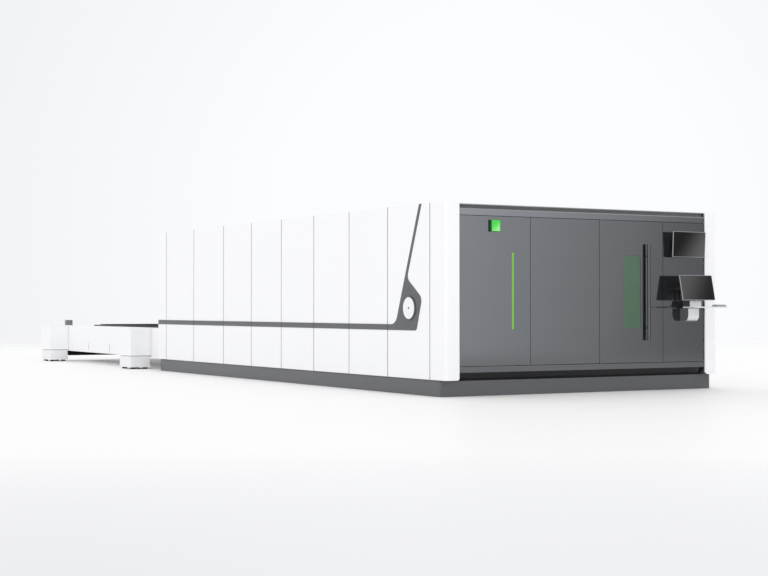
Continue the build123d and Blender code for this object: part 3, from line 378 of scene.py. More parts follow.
def glowing(name, node, start, end, first, second, base):
    """Plastic that glows in two colours, from one point of a node's box to another; here the second
    colour is painted light: a highlight on the lens, and a spill of glow on the housing.
    """
    material, tree, shader = new_material(name)
    inputs = {
        "Emission Color": blended(tree, share_along(tree, node, start, end), first, second),
        "Emission Strength": 1,
        "Base Color": (*base, 1),
        "Roughness": LENS_ROUGH,
    }
    connect(tree, shader, inputs)
    return material


def lit(name, colour):
    """A lit diffuser: its glow is a little uneven from the lamps behind it."""
    material, tree, shader = new_material(name)
    inputs = {
        "Emission Color": tint(tree, noise(tree, STRIP_BANDS, detail=1), colour, STRIP_TINT),
        "Emission Strength": 1,
        "Base Color": (*LENS_BASE, 1),
        "Roughness": STRIP_ROUGH,
    }
    connect(tree, shader, inputs)
    return material


def tinted_glass(name, colour, alpha):
    """Dark laser-safe glazing, seen through only a little."""
    material, tree, shader = new_material(name)
    drifting = tint(tree, noise(tree, GLASS_DRIFT, detail=2), colour, GLASS_TINT)
    connect(tree, shader, {"Base Color": drifting, "Roughness": GLASS_ROUGH, "Alpha": alpha})
    return material


# White panels, and the paints of the front, with painted shade under the sill and painted light and
# shade over the lip and cove of the header
white_paint = painted("white_paint", WHITE, rough=0.42, drift=0.008)
front_paint = front_gloss("front_paint")
# Faces of the sill that point down are painted near black: painted shade in the undercut
sill_paint_and_shade = masked_overlay(
    front_gloss("sill_paint_and_shade"),
    lambda tree: facing(tree, (0, 0, -1), UNDERCUT_SHADE_FACING),
    UNDERCUT_PAINTED_SHADE,
    specular=0.05,
)
# The lip and cove at the top of the header are painted flat grey: painted light and shade of the cove
header_paint_and_shading = masked_overlay(
    front_gloss("header_paint_and_shading", HEADER_IOR),
    lambda tree: above(tree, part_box("front_header")[1][2] - COVE_HEIGHT),
    COVE_PAINTED_SHADING,
    specular=0.2,
)
plinth_paint = painted("plinth_paint", PLINTH_GREY, rough=0.34, drift=0.05, specular=0.7)
trim_paint = painted("trim_paint", TRIM_GREY, rough=0.36)
cover_paint = painted("cover_paint", COVER_WHITE, rough=0.30)
seal_rubber = painted("seal_rubber", SEAL_BLACK, rough=0.6, specular=0.1)
foot_rubber = plastic("foot_rubber", FOOT_BLACK, rough=0.7)

# Door and lamps, with a painted highlight on the lens and a painted spill of green light on the
# housing
handle_paint = painted("handle_paint", HANDLE_BLACK, rough=0.08, peel=0, ior=1.8)
window_glass = tinted_glass("window_glass", WINDOW_GREEN, alpha=0.92)
lamp_black = plastic("lamp_black", LAMP_BLACK, rough=0.35)
strip_glow = lit("strip_glow", LED_GREEN)
# The lens glows green, with a painted highlight that grows towards its lower right
lamp_glow = glowing(
    "lamp_glow",
    "lamp_lens",
    start=(0.45, 0, 0.8),
    end=(1, 0, 0.1),
    first=LAMP_GREEN,
    second=LAMP_PAINTED_HIGHLIGHT,
    base=LENS_BASE,
)
# The housing is no lamp: its green glow is painted spill of the lens's light, stronger towards its
# front
lamp_body_painted_glow = glowing(
    "lamp_body_painted_glow",
    "lamp_housing",
    start=(0.5, 0.6, 0.5),
    end=(0.5, 0.4, 0.5),
    first=LAMP_DARK,
    second=LAMP_PAINTED_SPILL,
    base=HOUSING_BASE,
)

# Console
arm_alloy = metal("arm_alloy", ARM_GREY, rough=0.35, stretch=(1, 1, 0.1), drift=0.02)
# The neck's faces that point to -X are painted dark: painted shade on its shaded side
neck_paint_and_shade = masked_overlay(
    painted("neck_paint_and_shade", WHITE, rough=0.38, drift=0.01),
    lambda tree: facing(tree, (-1, 0, 0), NECK_SHADE_FACING),
    NECK_SIDE_PAINTED_SHADE,
    specular=0.3,
)
# The white tray is painted grey all over: painted shade standing for the shade along its edges
tray_paint_and_shade = painted("tray_paint_and_shade", TRAY_SHADED_GREY, rough=0.40, drift=0.01)
bracket_paint = painted("bracket_paint", BRACKET_GREY, rough=0.4, specular=0.3)
monitor_edge = painted("monitor_edge", MONITOR_EDGE_GREY, rough=0.3)
key_plastic = plastic("key_plastic", KEYBOARD_GREY, rough=0.5)
key_cap_plastic = plastic("key_cap_plastic", KEY_CAP_GREY, rough=0.45)
# Both screens carry a painted sheen: their base colour lightens across the glass
lower_glass_painted_sheen = screen(
    "lower_glass_painted_sheen", "lower_screen", start=(0.9, 0, 0.2), end=(0.1, 0, 0.95), dark=0.012, light=0.085
)
upper_glass_painted_sheen = screen(
    "upper_glass_painted_sheen", "upper_screen", start=(0.3, 0, 0.9), end=(1, 0, 0.1), dark=0.008, light=0.11
)

# Frame, bed, gantry and exchange table
frame_paint = painted("frame_paint", FRAME_GREY, rough=0.45, drift=0.06)
bed_paint = painted("bed_paint", BED_GREY, rough=0.40, drift=0.04)
motor_paint = painted("motor_paint", MOTOR_BLACK, rough=0.35)
rail_steel = metal("rail_steel", RAIL_GREY, rough=0.28, stretch=(1, 0.04, 1))
cross_rail_steel = metal("cross_rail_steel", RAIL_GREY, rough=0.28, stretch=(0.04, 1, 1))
machined_alloy = metal("machined_alloy", ALLOY_GREY, rough=0.32, stretch=(1, 1, 0.08))
pallet_paint = painted("pallet_paint", PALLET_BLACK, rough=0.5, drift=0.12, peel=0.2)
pedestal_paint = painted("pedestal_paint", PEDESTAL_WHITE, rough=0.5, drift=0.02, peel=0.3)
# Below the top of the side beams the cross beams and ribs are near black, painted shade under the
# table; above it the stops keep their own grey paint
beam_shade_and_paint = masked_overlay(
    painted("beam_shade_and_paint", UNDER_BEAM_PAINTED_SHADE, rough=0.5, specular=0.1),
    lambda tree: above(tree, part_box("table_side_beams")[1][2]),
    OVER_BEAM_GREY,
    specular=0.4,
)

# Which material each slot gets, and the nodes that differ from their slot
SLOT_MATERIALS = {
    "white_paint": white_paint,
    "front_grey": front_paint,
    "plinth_grey": plinth_paint,
    "cover_white": cover_paint,
    "frame_grey": frame_paint,
    "bed_paint": bed_paint,
    "rail_steel": rail_steel,
    "pallet_steel": pallet_paint,
    "foot_black": foot_rubber,
    "lamp_green": lamp_glow,
    "lamp_black": lamp_black,
    "window_green": window_glass,
    "handle_black": handle_paint,
    "bracket_grey": bracket_paint,
    "arm_silver": arm_alloy,
    "key_grey": key_plastic,
    "monitor_silver": monitor_edge,
    "screen_black": lower_glass_painted_sheen,
    "machined_alloy": machined_alloy,
}
NODE_MATERIALS = {
    "light_strip": strip_glow,
    "lamp_housing": lamp_body_painted_glow,
    "front_header": header_paint_and_shading,
    # The door's steel pivot pins take the black handle paint: painted shade in the gap where they sit
    "door_pivot_pins": handle_paint,
    "front_sill": sill_paint_and_shade,
    "console_neck": neck_paint_and_shade,
    "upper_screen": upper_glass_painted_sheen,
    "rail_ribs": beam_shade_and_paint,
    "table_cross_beams": beam_shade_and_paint,
    "pedestals": pedestal_paint,
    "keyboard_tray": tray_paint_and_shade,
    "badge_plate": trim_paint,
    "side_bands": trim_paint,
    "x_rails": cross_rail_steel,
}


def dress(node, material):
    """Gives every face of a CAD node one material."""
    mesh = nodes[node].data
    mesh.materials.clear()
    mesh.materials.append(material)


for row in frame["record"]["subparts"]:
    chosen = NODE_MATERIALS.get(row["node"], SLOT_MATERIALS[row["material_slot"]])
    dress(row["node"], chosen)

# Mesh helpers for the pieces that dress the machine, and how close two corners count as one
WELD = 0.000001
SAME_CORNER = 0.00001


def piece(name, body, material, build):
    """A new piece that rides on a body; build fills its mesh."""
    shape = bmesh.new()
    build(shape)
    bmesh.ops.remove_doubles(shape, verts=shape.verts, dist=WELD)
    bmesh.ops.recalc_face_normals(shape, faces=shape.faces)
    mesh = bpy.data.meshes.new(name)
    shape.to_mesh(mesh)
    shape.free()
    mesh.materials.append(material)
    made = bpy.data.objects.new(name, mesh)
    bpy.context.scene.collection.objects.link(made)
    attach(made, body)


def prism(shape, outline, way):
    """A solid between a flat outline and its copy moved by way."""
    near = [shape.verts.new(point) for point in outline]
    far = [shape.verts.new(Vector(point) + Vector(way)) for point in outline]
    shape.faces.new(near)
    shape.faces.new(far[::-1])
    for i in range(len(near)):
        j = (i + 1) % len(near)
        shape.faces.new((near[i], near[j], far[j], far[i]))


def turned(shape, foot, axis, profile, steps=24):
    """A turned solid from pairs of height along the axis and radius."""
    along = Vector(axis).normalized()
    across = along.orthogonal().normalized()
    other = along.cross(across)
    rings = []
    for height, radius in profile:
        centre = Vector(foot) + along * height
        if radius == 0:
            rings.append([shape.verts.new(centre)])
            continue
        turns = [2 * math.pi * i / steps for i in range(steps)]
        rings.append(
            [
                shape.verts.new(centre + (across * math.cos(t) + other * math.sin(t)) * radius)
                for t in turns
            ]
        )
    for low, high in zip(rings, rings[1:]):
        for i in range(steps):
            j = (i + 1) % steps
            corners = (low[i % len(low)], low[j % len(low)], high[j % len(high)], high[i % len(high)])
            shape.faces.new(dict.fromkeys(corners))


def solids_of(node):
    """The lowest and highest corner of every separate solid of a CAD node."""
    shape = bmesh.new()
    shape.from_mesh(nodes[node].data)
    shape.transform(nodes[node].matrix_world)
    bmesh.ops.remove_doubles(shape, verts=shape.verts, dist=SAME_CORNER)
    left = set(shape.verts)
    found = []
    while left:
        waiting = [left.pop()]
        group = []
        while waiting:
            corner = waiting.pop()
            group.append(corner.co.copy())
            near = {edge.other_vert(corner) for edge in corner.link_edges} & left
            left -= near
            waiting += near
        low = [min(point[axis] for point in group) for axis in range(3)]
        high = [max(point[axis] for point in group) for axis in range(3)]
        found.append((low, high))
    shape.free()
    return found


# Rubber seals in the gaps between panels: a bead below the roof and the rear wall, and a thin lip
# over both sheets at the walls and over the edges of the dark front
SEAL_RECESS = 0.0004
SEAL_DEPTH = 0.030
SEAL_BEAD = 0.002
SEAL_PLAY = 0.0003
SEAL_LIP = 0.0016
LIP_FOOT, LIP_TOP = 0.0002, 0.0007
FRONT_EDGE_GAP = 0.004
FRONT_LIP = 0.005
NARROWEST_GAP, WIDEST_GAP = 0.001, 0.012


def seal(shape, gap_axis, gap, out_axis, face, run_axis, run, lipped):
    """One strip with a raised bead, or with a thin lip over the edges of both sheets.
    face is the sheet's outer face along out_axis."""
    sign = 1 if face > 0 else -1
    low, high = gap[0] + SEAL_PLAY, gap[1] - SEAL_PLAY
    top = face - sign * SEAL_RECESS
    section = [(low, top - sign * SEAL_DEPTH), (high, top - sign * SEAL_DEPTH)]
    if lipped:
        section += [
            (high, face + sign * LIP_FOOT),
            (high + SEAL_LIP, face + sign * LIP_FOOT),
            (high, face + sign * LIP_TOP),
            (low, face + sign * LIP_TOP),
            (low - SEAL_LIP, face + sign * LIP_FOOT),
            (low, face + sign * LIP_FOOT),
        ]
    else:
        section += [
            (high, top - sign * SEAL_BEAD),
            ((low + high) / 2, top),
            (low, top - sign * SEAL_BEAD),
        ]
    outline = []
    for across, out in section:
        point = [0.0, 0.0, 0.0]
        point[gap_axis], point[out_axis], point[run_axis] = across, out, run[0]
        outline.append(point)
    way = [0.0, 0.0, 0.0]
    way[run_axis] = run[1] - run[0]
    prism(shape, outline, way)


def seals_between(shape, solids, gap_axis, out_axis, face, run_axis, lipped=False):
    """A seal in each narrow gap of a row of panels."""
    row = sorted(solids, key=lambda box: box[0][gap_axis])
    for first, second in zip(row, row[1:]):
        gap = (first[1][gap_axis], second[0][gap_axis])
        if NARROWEST_GAP < gap[1] - gap[0] < WIDEST_GAP:
            run = (
                max(first[0][run_axis], second[0][run_axis]),
                min(first[1][run_axis], second[1][run_axis]) - SEAL_PLAY,
            )
            seal(shape, gap_axis, gap, out_axis, face, run_axis, run, lipped)


def wall_seals(shape):
    """Seals between the panels and posts of both sides."""
    boxes = solids_of("side_panels") + solids_of("corner_posts")
    for sign in (-1, 1):
        row = [box for box in boxes if sign * (box[0][0] + box[1][0]) > 0]
        face = max(box[1][0] for box in row) if sign > 0 else min(box[0][0] for box in row)
        seals_between(shape, row, 1, 0, face, 2, lipped=True)


def roof_seals(shape):
    """Seals between the roof panels."""
    boxes = solids_of("roof_panels")
    seals_between(shape, boxes, 1, 2, boxes[0][1][2], 0)


def rear_seals(shape):
    """Seals between the rear panels that reach the top of the wall."""
    boxes = solids_of("rear_wall_panels")
    top = max(box[1][2] for box in boxes)
    row = [box for box in boxes if box[1][2] > top - WIDEST_GAP]
    seals_between(shape, row, 0, 1, row[0][1][1], 2)


def front_edge_seals(shape):
    """A strip along each side of the dark front, with a lip over the edge of its panel."""
    low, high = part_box("front_panels")
    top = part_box("front_header")[1][2] - COVE_HEIGHT
    for edge, inwards in ((low[0], 1), (high[0], -1)):
        outer = edge - inwards * (FRONT_EDGE_GAP - SEAL_PLAY)
        inner = edge - inwards * SEAL_PLAY
        lip = edge + inwards * FRONT_LIP
        section = (
            (outer, low[1] + SEAL_DEPTH),
            (inner, low[1] + SEAL_DEPTH),
            (inner, low[1] - LIP_FOOT),
            (lip, low[1] - LIP_FOOT),
            (inner, low[1] - LIP_TOP),
            (outer, low[1] - LIP_TOP),
        )
        prism(shape, [(x, y, low[2]) for x, y in section], (0, 0, top - low[2]))


piece("wall_seals", "root", seal_rubber, wall_seals)
piece("front_edge_seals", "root", seal_rubber, front_edge_seals)
piece("roof_seals", "root", seal_rubber, roof_seals)
piece("rear_seals", "root", seal_rubber, rear_seals)

# Near black end plates that close the cove of the header and the undercut of the sill at both sides:
# painted shade at those ends
PLATE_THICKNESS = 0.003
COVE_RADIUS = 0.042
COVE_LIP = 0.008
COVE_STEPS = 12
SILL_BEND_RISE = 0.099
SILL_FOOT_BACK = 0.110
POST_FOOT_RISE = 0.012


def front_end_shade_plates(shape):
    """At each side a plate in the shape of the cove and one in the shape of the undercut."""
    header_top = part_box("front_header")[1][2]
    sill_low, sill_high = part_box("front_sill")
    front = sill_low[1]
    cove_z = header_top - COVE_LIP
    turns = [math.pi / 2 * i / COVE_STEPS for i in range(COVE_STEPS + 1)]
    cove = [(front, cove_z)]
    cove += [
        (front + COVE_RADIUS * math.cos(t), cove_z - COVE_RADIUS * math.sin(t)) for t in turns
    ]
    undercut = (
        (front, sill_low[2] + SILL_BEND_RISE),
        (front, sill_low[2] + POST_FOOT_RISE),
        (front + SILL_FOOT_BACK, sill_low[2]),
    )
    for x in (sill_low[0], sill_high[0] - PLATE_THICKNESS):
        for outline in (cove, undercut):
            prism(shape, [(x, y, z) for y, z in outline], (PLATE_THICKNESS, 0, 0))


piece("front_end_shade_plates", "root", pallet_paint, front_end_shade_plates)

# Dark ring and small hub on the round cover of the left side
RING_WIDTH = 0.014
RING_PROUD = 0.0012
RING_PLAY = 0.0005
TRIM_THICKNESS = 0.004
HUB_RADIUS, HUB_TOP_RADIUS = 0.013, 0.0104
HUB_PROUD = 0.003


def cover_trim(shape):
    """A bevelled ring round the disc, and a hub in its middle."""
    low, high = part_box("round_cover")
    foot = (high[0], (low[1] + high[1]) / 2, (low[2] + high[2]) / 2)
    top = high[0] - low[0]
    edge = (high[1] - low[1]) / 2 + RING_PLAY
    inner = edge - RING_WIDTH
    start = TRIM_THICKNESS + RING_PLAY
    ring = (
        (start, edge),
        (top - RING_PROUD, edge),
        (top + RING_PROUD, edge - 2 * RING_PROUD),
        (top + RING_PROUD, inner),
        (top - RING_PROUD, inner),
        (start, inner),
        (start, edge),
    )
    turned(shape, foot, (-1, 0, 0), ring, steps=96)
    hub = (
        (top - HUB_PROUD, 0),
        (top - HUB_PROUD, HUB_RADIUS),
        (top + HUB_PROUD / 2, HUB_RADIUS),
        (top + HUB_PROUD, HUB_TOP_RADIUS),
        (top + HUB_PROUD, 0),
    )
    turned(shape, foot, (-1, 0, 0), hub, steps=48)


piece("cover_trim", "root", trim_paint, cover_trim)

# Keys of the keyboard: tapered caps in rows, with a wide bar in the front row
KEY_PITCH = 0.0145
KEY_GAP = 0.003
KEY_HEIGHT = 0.004
KEY_TAPER = 0.0015
SHOULDER_HEIGHT, SHOULDER_TAPER = 0.0028, 0.0009
KEY_SINK = 0.0002
KEY_ROWS = 6
KEY_COLUMNS = 9
BAR_KEYS = (3, 6)


def keycap(shape, low, high, foot):
    """A cap with sloping flanks; low and high are corners on the keyboard's face."""
    levels = []
    for height, inset in ((0, 0), (SHOULDER_HEIGHT, SHOULDER_TAPER), (KEY_HEIGHT, KEY_TAPER)):
        x0, y0, x1, y1 = low[0] + inset, low[1] + inset, high[0] - inset, high[1] - inset
        ring = ((x0, y0), (x1, y0), (x1, y1), (x0, y1))
        levels.append([shape.verts.new((x, y, foot + height)) for x, y in ring])
    for lower, upper in zip(levels, levels[1:]):
        for i in range(4):
            j = (i + 1) % 4
            shape.faces.new((lower[i], lower[j], upper[j], upper[i]))
    shape.faces.new(levels[0][::-1])
    shape.faces.new(levels[-1])


def keys(shape):
    """Rows of caps in the middle of the keyboard's face."""
    low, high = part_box("keyboard")
    left = (low[0] + high[0] - KEY_COLUMNS * KEY_PITCH) / 2
    front = (low[1] + high[1] - KEY_ROWS * KEY_PITCH) / 2
    for row in range(KEY_ROWS):
        column = 0
        while column < KEY_COLUMNS:
            last = BAR_KEYS[1] if (row, column) == (0, BAR_KEYS[0]) else column + 1
            near = (left + column * KEY_PITCH + KEY_GAP / 2, front + row * KEY_PITCH + KEY_GAP / 2)
            far = (left + last * KEY_PITCH - KEY_GAP / 2, front + (row + 1) * KEY_PITCH - KEY_GAP / 2)
            keycap(shape, near, far, high[2] - KEY_SINK)
            column = last


piece("keyboard_keys", "console", key_cap_plastic, keys)

# Teeth of the pallet slats: a toothed edge on top of every slat
TOOTH_PITCH = 0.05
TOOTH_HEIGHT = 0.016
TOOTH_TIP = 0.006
TOOTH_VALLEY = 0.014
TOOTH_ROOT = 0.012
TOOTH_SKIN = 0.0003
THICKEST_SLAT = 0.025


def toothed_edge(shape, low, high):
    """The toothed outline of one slat, as thick as the slat and a skin more."""
    count = int((high[0] - low[0]) / TOOTH_PITCH)
    margin = (high[0] - low[0] - count * TOOTH_PITCH) / 2
    half_foot = (TOOTH_PITCH - TOOTH_VALLEY) / 2
    outline = [(low[0], high[2] - TOOTH_ROOT), (high[0], high[2] - TOOTH_ROOT), (high[0], high[2])]
    for i in reversed(range(count)):
        middle = low[0] + margin + (i + 0.5) * TOOTH_PITCH
        outline += [
            (middle + half_foot, high[2]),
            (middle + TOOTH_TIP / 2, high[2] + TOOTH_HEIGHT),
            (middle - TOOTH_TIP / 2, high[2] + TOOTH_HEIGHT),
            (middle - half_foot, high[2]),
        ]
    outline.append((low[0], high[2]))
    back = low[1] - TOOTH_SKIN
    prism(shape, [(x, back, z) for x, z in outline], (0, high[1] - low[1] + 2 * TOOTH_SKIN, 0))


def slat_teeth(grate):
    """Every slat's teeth; slats are the thin solids of the grate."""
    thin = [box for box in solids_of(grate) if box[1][1] - box[0][1] < THICKEST_SLAT]

    def build(shape):
        for low, high in thin:
            toothed_edge(shape, low, high)

    return build


for level in ("upper", "lower"):
    grate = f"{level}_pallet_grate"
    piece(f"{level}_slat_teeth", f"{level}_pallet", pallet_paint, slat_teeth(grate))

# Vent ribs on the backs of both monitors, above and below the mount
VENT_RIBS = 9
MOUNT_RIBS = 2
RIB_WIDTH = 0.004
RIB_HEIGHT = 0.0025
RIB_BEVEL = 0.001
RIB_REACH = 0.26
RIB_SPACING = 0.016
MONITOR_DEPTH = 0.037


def vent_ribs(node, tilt):
    """Raised ribs across the box on a monitor's back."""
    low, high = (Vector(corner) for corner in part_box(node))
    lean = math.radians(tilt)
    up = Vector((0, math.sin(lean), math.cos(lean)))
    back = Vector((0, math.cos(lean), -math.sin(lean)))
    centre = (low + high) / 2 + back * MONITOR_DEPTH

    def build(shape):
        for i in range(VENT_RIBS):
            offset = (i - (VENT_RIBS - 1) / 2) * RIB_SPACING
            if abs(offset) < MOUNT_RIBS * RIB_SPACING:
                continue
            foot = centre + up * offset - Vector((RIB_REACH / 2, 0, 0))
            section = (
                foot - up * RIB_WIDTH / 2,
                foot + up * RIB_WIDTH / 2,
                foot + up * (RIB_WIDTH / 2 - RIB_BEVEL) + back * RIB_HEIGHT,
                foot - up * (RIB_WIDTH / 2 - RIB_BEVEL) + back * RIB_HEIGHT,
            )
            prism(shape, section, (RIB_REACH, 0, 0))

    return build


for level, tilt in (("lower", LOWER_TILT), ("upper", UPPER_TILT)):
    ribs = vent_ribs(f"{level}_screen", tilt)
    piece(f"{level}_monitor_vents", f"{level}_display", lamp_black, ribs)

# Drive motors over the two pinions, bolted on the gantry's end plates
MOTOR_HALF = 0.048
MOTOR_CORNER = 0.012
MOTOR_BODY = 0.20
FLANGE_HALF = 0.052
FLANGE_THICK = 0.018
CAP_HEIGHT = 0.05
CAP_BEVEL = 0.008


def square_post(shape, centre, half, corner, low, high):
    """An upright square post with cut corners."""
    x, y = centre
    inner = half - corner
    ring = (
        (-half, -inner), (-inner, -half), (inner, -half), (half, -inner),
        (half, inner), (inner, half), (-inner, half), (-half, inner),
    )
    prism(shape, [(x + a, y + b, low) for a, b in ring], (0, 0, high - low))


def drive_motors(shape):
    """Over each pinion a flange, a square motor and a turned cap."""
    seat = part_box("gantry_beam")[0][2]
    for node in ("left_pinion", "right_pinion"):
        low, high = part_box(node)
        centre = ((low[0] + high[0]) / 2, (low[1] + high[1]) / 2)
        body_low = seat + FLANGE_THICK
        body_high = body_low + MOTOR_BODY
        square_post(shape, centre, FLANGE_HALF, MOTOR_CORNER / 2, seat, body_low)
        square_post(shape, centre, MOTOR_HALF, MOTOR_CORNER, body_low, body_high)
        rim = MOTOR_HALF - MOTOR_CORNER / 2
        cap = (
            (0, 0),
            (0, rim),
            (CAP_HEIGHT - CAP_BEVEL, rim),
            (CAP_HEIGHT, rim - CAP_BEVEL),
            (CAP_HEIGHT, 0),
        )
        turned(shape, (*centre, body_high), (0, 0, 1), cap)


piece("drive_motors", "gantry", motor_paint, drive_motors)

# Collars, knobs and a gas fitting on the cutting head: their places are shares of its barrel, and
# their roots are shares of its radius
BARREL_SHARE = 0.84
HEAD_COLLARS = (0.36, 0.58, 0.80)
COLLAR_HEIGHT = 0.012
COLLAR_BEVEL = 0.002
COLLAR_PROUD = 0.003
COLLAR_ROOT = 0.9
SIDE_ROOT = 0.96
KNOB_PLACE = 0.5
KNOB_RADIUS, KNOB_NECK_RADIUS, KNOB_FACE_RADIUS = 0.014, 0.0098, 0.0119
KNOB_NECK_REACH, KNOB_BACK_REACH, KNOB_EDGE_REACH, KNOB_REACH = 0.0078, 0.0091, 0.0234, 0.026
FITTING_PLACE = 0.70
FITTING_RADIUS, TUBE_RADIUS = 0.009, 0.0054
FITTING_REACH, TUBE_REACH = 0.02, 0.04


def head_dress(shape):
    """Collars round the head, a knob on each side and a six-sided fitting in front."""
    low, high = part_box("cutting_head")
    x, y = (low[0] + high[0]) / 2, (low[1] + high[1]) / 2
    radius = (high[0] - low[0]) / 2
    barrel = (high[2] - low[2]) * BARREL_SHARE
    edge = radius + COLLAR_PROUD
    collar = (
        (0, radius * COLLAR_ROOT),
        (0, radius),
        (COLLAR_BEVEL, edge),
        (COLLAR_HEIGHT - COLLAR_BEVEL, edge),
        (COLLAR_HEIGHT, radius),
        (COLLAR_HEIGHT, radius * COLLAR_ROOT),
    )
    for share in HEAD_COLLARS:
        turned(shape, (x, y, low[2] + barrel * share), (0, 0, 1), collar, steps=48)
    knob = (
        (0, 0),
        (0, KNOB_NECK_RADIUS),
        (KNOB_NECK_REACH, KNOB_NECK_RADIUS),
        (KNOB_BACK_REACH, KNOB_RADIUS),
        (KNOB_EDGE_REACH, KNOB_RADIUS),
        (KNOB_REACH, KNOB_FACE_RADIUS),
        (KNOB_REACH, 0),
    )
    for way in (-1, 1):
        foot = (x + way * radius * SIDE_ROOT, y, low[2] + barrel * KNOB_PLACE)
        turned(shape, foot, (way, 0, 0), knob)
    fitting = (
        (0, 0),
        (0, FITTING_RADIUS),
        (FITTING_REACH, FITTING_RADIUS),
        (FITTING_REACH, TUBE_RADIUS),
        (TUBE_REACH, TUBE_RADIUS),
        (TUBE_REACH, 0),
    )
    foot = (x, y - radius * SIDE_ROOT, low[2] + barrel * FITTING_PLACE)
    turned(shape, foot, (0, -1, 0), fitting, steps=6)


piece("cutting_head_dress", "head", rail_steel, head_dress)

# Plugs over the screw holes along both ground rails
PLUG_PITCH = 0.12
PLUG_RADIUS, PLUG_TOP_RADIUS = 0.010, 0.009
PLUG_DEPTH = 0.002
PLUG_PROUD = 0.00015


def rail_plugs(shape):
    """A row of plugs on every rail that reaches the top level."""
    rail_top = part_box("y_rails")[1][2]
    top = PLUG_DEPTH + PLUG_PROUD
    plug = ((0, 0), (0, PLUG_RADIUS), (PLUG_DEPTH, PLUG_RADIUS), (top, PLUG_TOP_RADIUS), (top, 0))
    for low, high in solids_of("y_rails"):
        if high[2] < rail_top - PLUG_DEPTH:
            continue
        for i in range(int((high[1] - low[1]) / PLUG_PITCH)):
            along = low[1] + (i + 0.5) * PLUG_PITCH
            foot = ((low[0] + high[0]) / 2, along, high[2] - PLUG_DEPTH)
            turned(shape, foot, (0, 0, 1), plug, steps=12)


piece("rail_plugs", "root", lamp_black, rail_plugs)

# Cable tray along the top of the gantry beam, with lips turned inwards
TRAY_HALF = 0.055
TRAY_HEIGHT = 0.045
TRAY_SHEET = 0.002
TRAY_LIP = 0.010
TRAY_END = 0.12


def cable_tray(shape):
    """One open channel that ends a little before both ends of the beam."""
    low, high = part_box("gantry_beam")
    y_mid, floor_z = (low[1] + high[1]) / 2, high[2]
    inner = TRAY_HALF - TRAY_SHEET
    section = (
        (-TRAY_HALF, 0),
        (TRAY_HALF, 0),
        (TRAY_HALF, TRAY_HEIGHT),
        (inner - TRAY_LIP, TRAY_HEIGHT),
        (inner - TRAY_LIP, TRAY_HEIGHT - TRAY_SHEET),
        (inner, TRAY_HEIGHT - TRAY_SHEET),
        (inner, TRAY_SHEET),
        (-inner, TRAY_SHEET),
        (-inner, TRAY_HEIGHT - TRAY_SHEET),
        (TRAY_LIP - inner, TRAY_HEIGHT - TRAY_SHEET),
        (TRAY_LIP - inner, TRAY_HEIGHT),
        (-TRAY_HALF, TRAY_HEIGHT),
    )
    start = low[0] + TRAY_END
    prism(
        shape,
        [(start, y_mid + a, floor_z + b) for a, b in section],
        (high[0] - TRAY_END - start, 0, 0),
    )


piece("gantry_cable_tray", "gantry", frame_paint, cable_tray)


# Stage: floor, world, lights and camera
def floor_material():
    """Pale matt floor, darker near the camera as painted shade, and clear far away."""
    material, tree, shader = new_material("studio_floor")
    place = own_space(tree)
    from_camera = measured(tree, "DISTANCE", place, (*CAMERA_PLACE[:2], 0))
    pale = mapped(tree, from_camera, PAINTED_SHADE_WITHIN, BRIGHT_BEYOND)
    from_part = measured(tree, "DISTANCE", place, (0, 0, 0))
    clear = mapped(tree, from_part, FADE_START, FADE_END, curve="SMOOTHSTEP")
    inputs = {
        "Base Color": blended(tree, pale, FLOOR_NEAR_PAINTED_SHADE, FLOOR_FAR),
        "Roughness": FLOOR_ROUGH,
        "Specular IOR Level": FLOOR_SPECULAR,
    }
    connect(tree, shader, inputs)
    nothing = tree.nodes.new("ShaderNodeBsdfTransparent")
    seen = shader_mix(tree, clear, shader.outputs["BSDF"], nothing.outputs["BSDF"])
    connect(tree, tree.nodes["Material Output"], {"Surface": seen})
    return material


def floor():
    """A wide flat floor, which belongs to the stage and not to the part."""
    mesh = bpy.data.meshes.new("studio_floor")
    shape = bmesh.new()
    bmesh.ops.create_grid(shape, x_segments=2, y_segments=2, size=FLOOR_REACH)
    shape.to_mesh(mesh)
    shape.free()
    mesh.materials.append(floor_material())
    ground = bpy.data.objects.new("studio_floor", mesh)
    bpy.context.scene.collection.objects.link(ground)


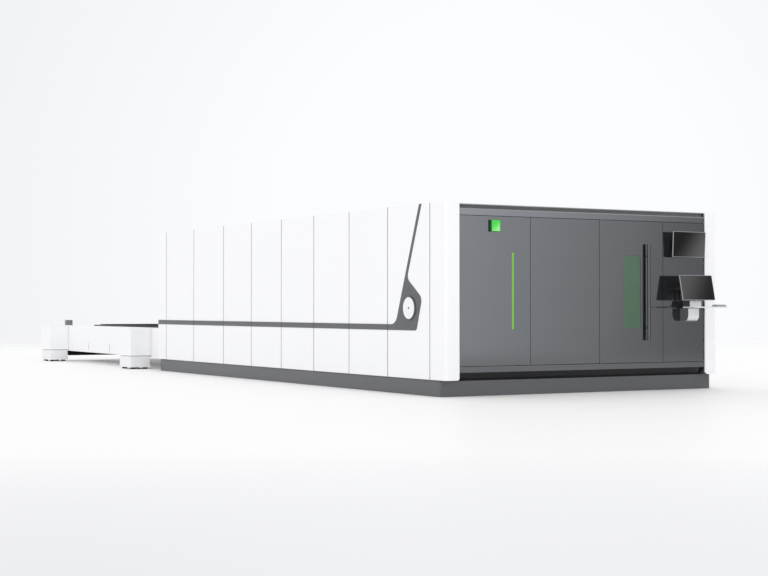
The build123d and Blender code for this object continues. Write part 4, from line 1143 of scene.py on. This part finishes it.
def room_glow(tree, gloss_ray):
    """How bright the surroundings are. In reflections the room before the machine is brighter at
    its left and higher up. The background falls off a little away from its middle."""
    way = tree.nodes.new("ShaderNodeTexCoord").outputs["Generated"]
    parts = parts_of(tree, way)
    across = mapped(tree, parts["X"], ROOM_LEFT, ROOM_RIGHT, ROOM_LEFT_GLOW, ROOM_RIGHT_GLOW)
    upwards = mapped(tree, parts["Z"], ROOM_LOW, ROOM_HIGH, ROOM_LOW_SHARE, ROOM_HIGH_SHARE)
    room = calculated(tree, "MULTIPLY", across, upwards)
    off_middle = measured(tree, "DISTANCE", way, BACKGROUND_MIDDLE)
    background = mapped(tree, off_middle, FALL_START, FALL_END, 1, BACKGROUND_EDGE)
    before = mapped(tree, parts["Y"], 0, ROOM_IN_FULL)
    reflected = calculated(tree, "MULTIPLY", before, gloss_ray)
    return mixed(tree, reflected, background, room, kind="FLOAT")


def world():
    """Plain soft light, and the pale surroundings in what the camera, gloss and glass see."""
    sky = bpy.data.worlds.new("studio")
    bpy.context.scene.world = sky
    sky.use_nodes = True
    tree = sky.node_tree
    light = tree.nodes["Background"]
    connect(tree, light, {"Color": (1, 1, 1, 1), "Strength": WORLD_LIGHT})
    ray = tree.nodes.new("ShaderNodeLightPath").outputs
    seen = tree.nodes.new("ShaderNodeBackground")
    glow = room_glow(tree, ray["Is Glossy Ray"])
    connect(tree, seen, {"Color": BACKGROUND, "Strength": glow})
    straight = calculated(tree, "MAXIMUM", ray["Is Camera Ray"], ray["Is Glossy Ray"])
    sees = calculated(tree, "MAXIMUM", straight, ray["Is Transmission Ray"])
    whole = shader_mix(tree, sees, light.outputs["Background"], seen.outputs["Background"])
    connect(tree, tree.nodes["World Output"], {"Surface": whole})


def broad_light(name, towards, strength):
    """Broad even light, as from a wide bright wall."""
    data = bpy.data.lights.new(name, "SUN")
    data.energy = strength
    data.angle = math.radians(SUN_SPREAD)
    lamp = bpy.data.objects.new(name, data)
    lamp.rotation_euler = Vector(towards).to_track_quat("-Z", "Y").to_euler()
    bpy.context.scene.collection.objects.link(lamp)


def camera():
    """The camera that took the photograph."""
    data = bpy.data.cameras.new("photo_camera")
    data.lens = CAMERA_LENS
    data.sensor_width = SENSOR_WIDTH
    data.clip_end = CAMERA_REACH
    eye = bpy.data.objects.new("photo_camera", data)
    eye.location = CAMERA_PLACE
    eye.rotation_euler = [math.radians(angle) for angle in CAMERA_TURN]
    bpy.context.scene.collection.objects.link(eye)
    bpy.context.scene.camera = eye


floor()
world()
broad_light("side_light", SIDE_LIGHT_WAY, SIDE_LIGHT)
broad_light("front_light", FRONT_LIGHT_WAY, FRONT_LIGHT)
camera()
bpy.context.scene.view_settings.view_transform = "Standard"
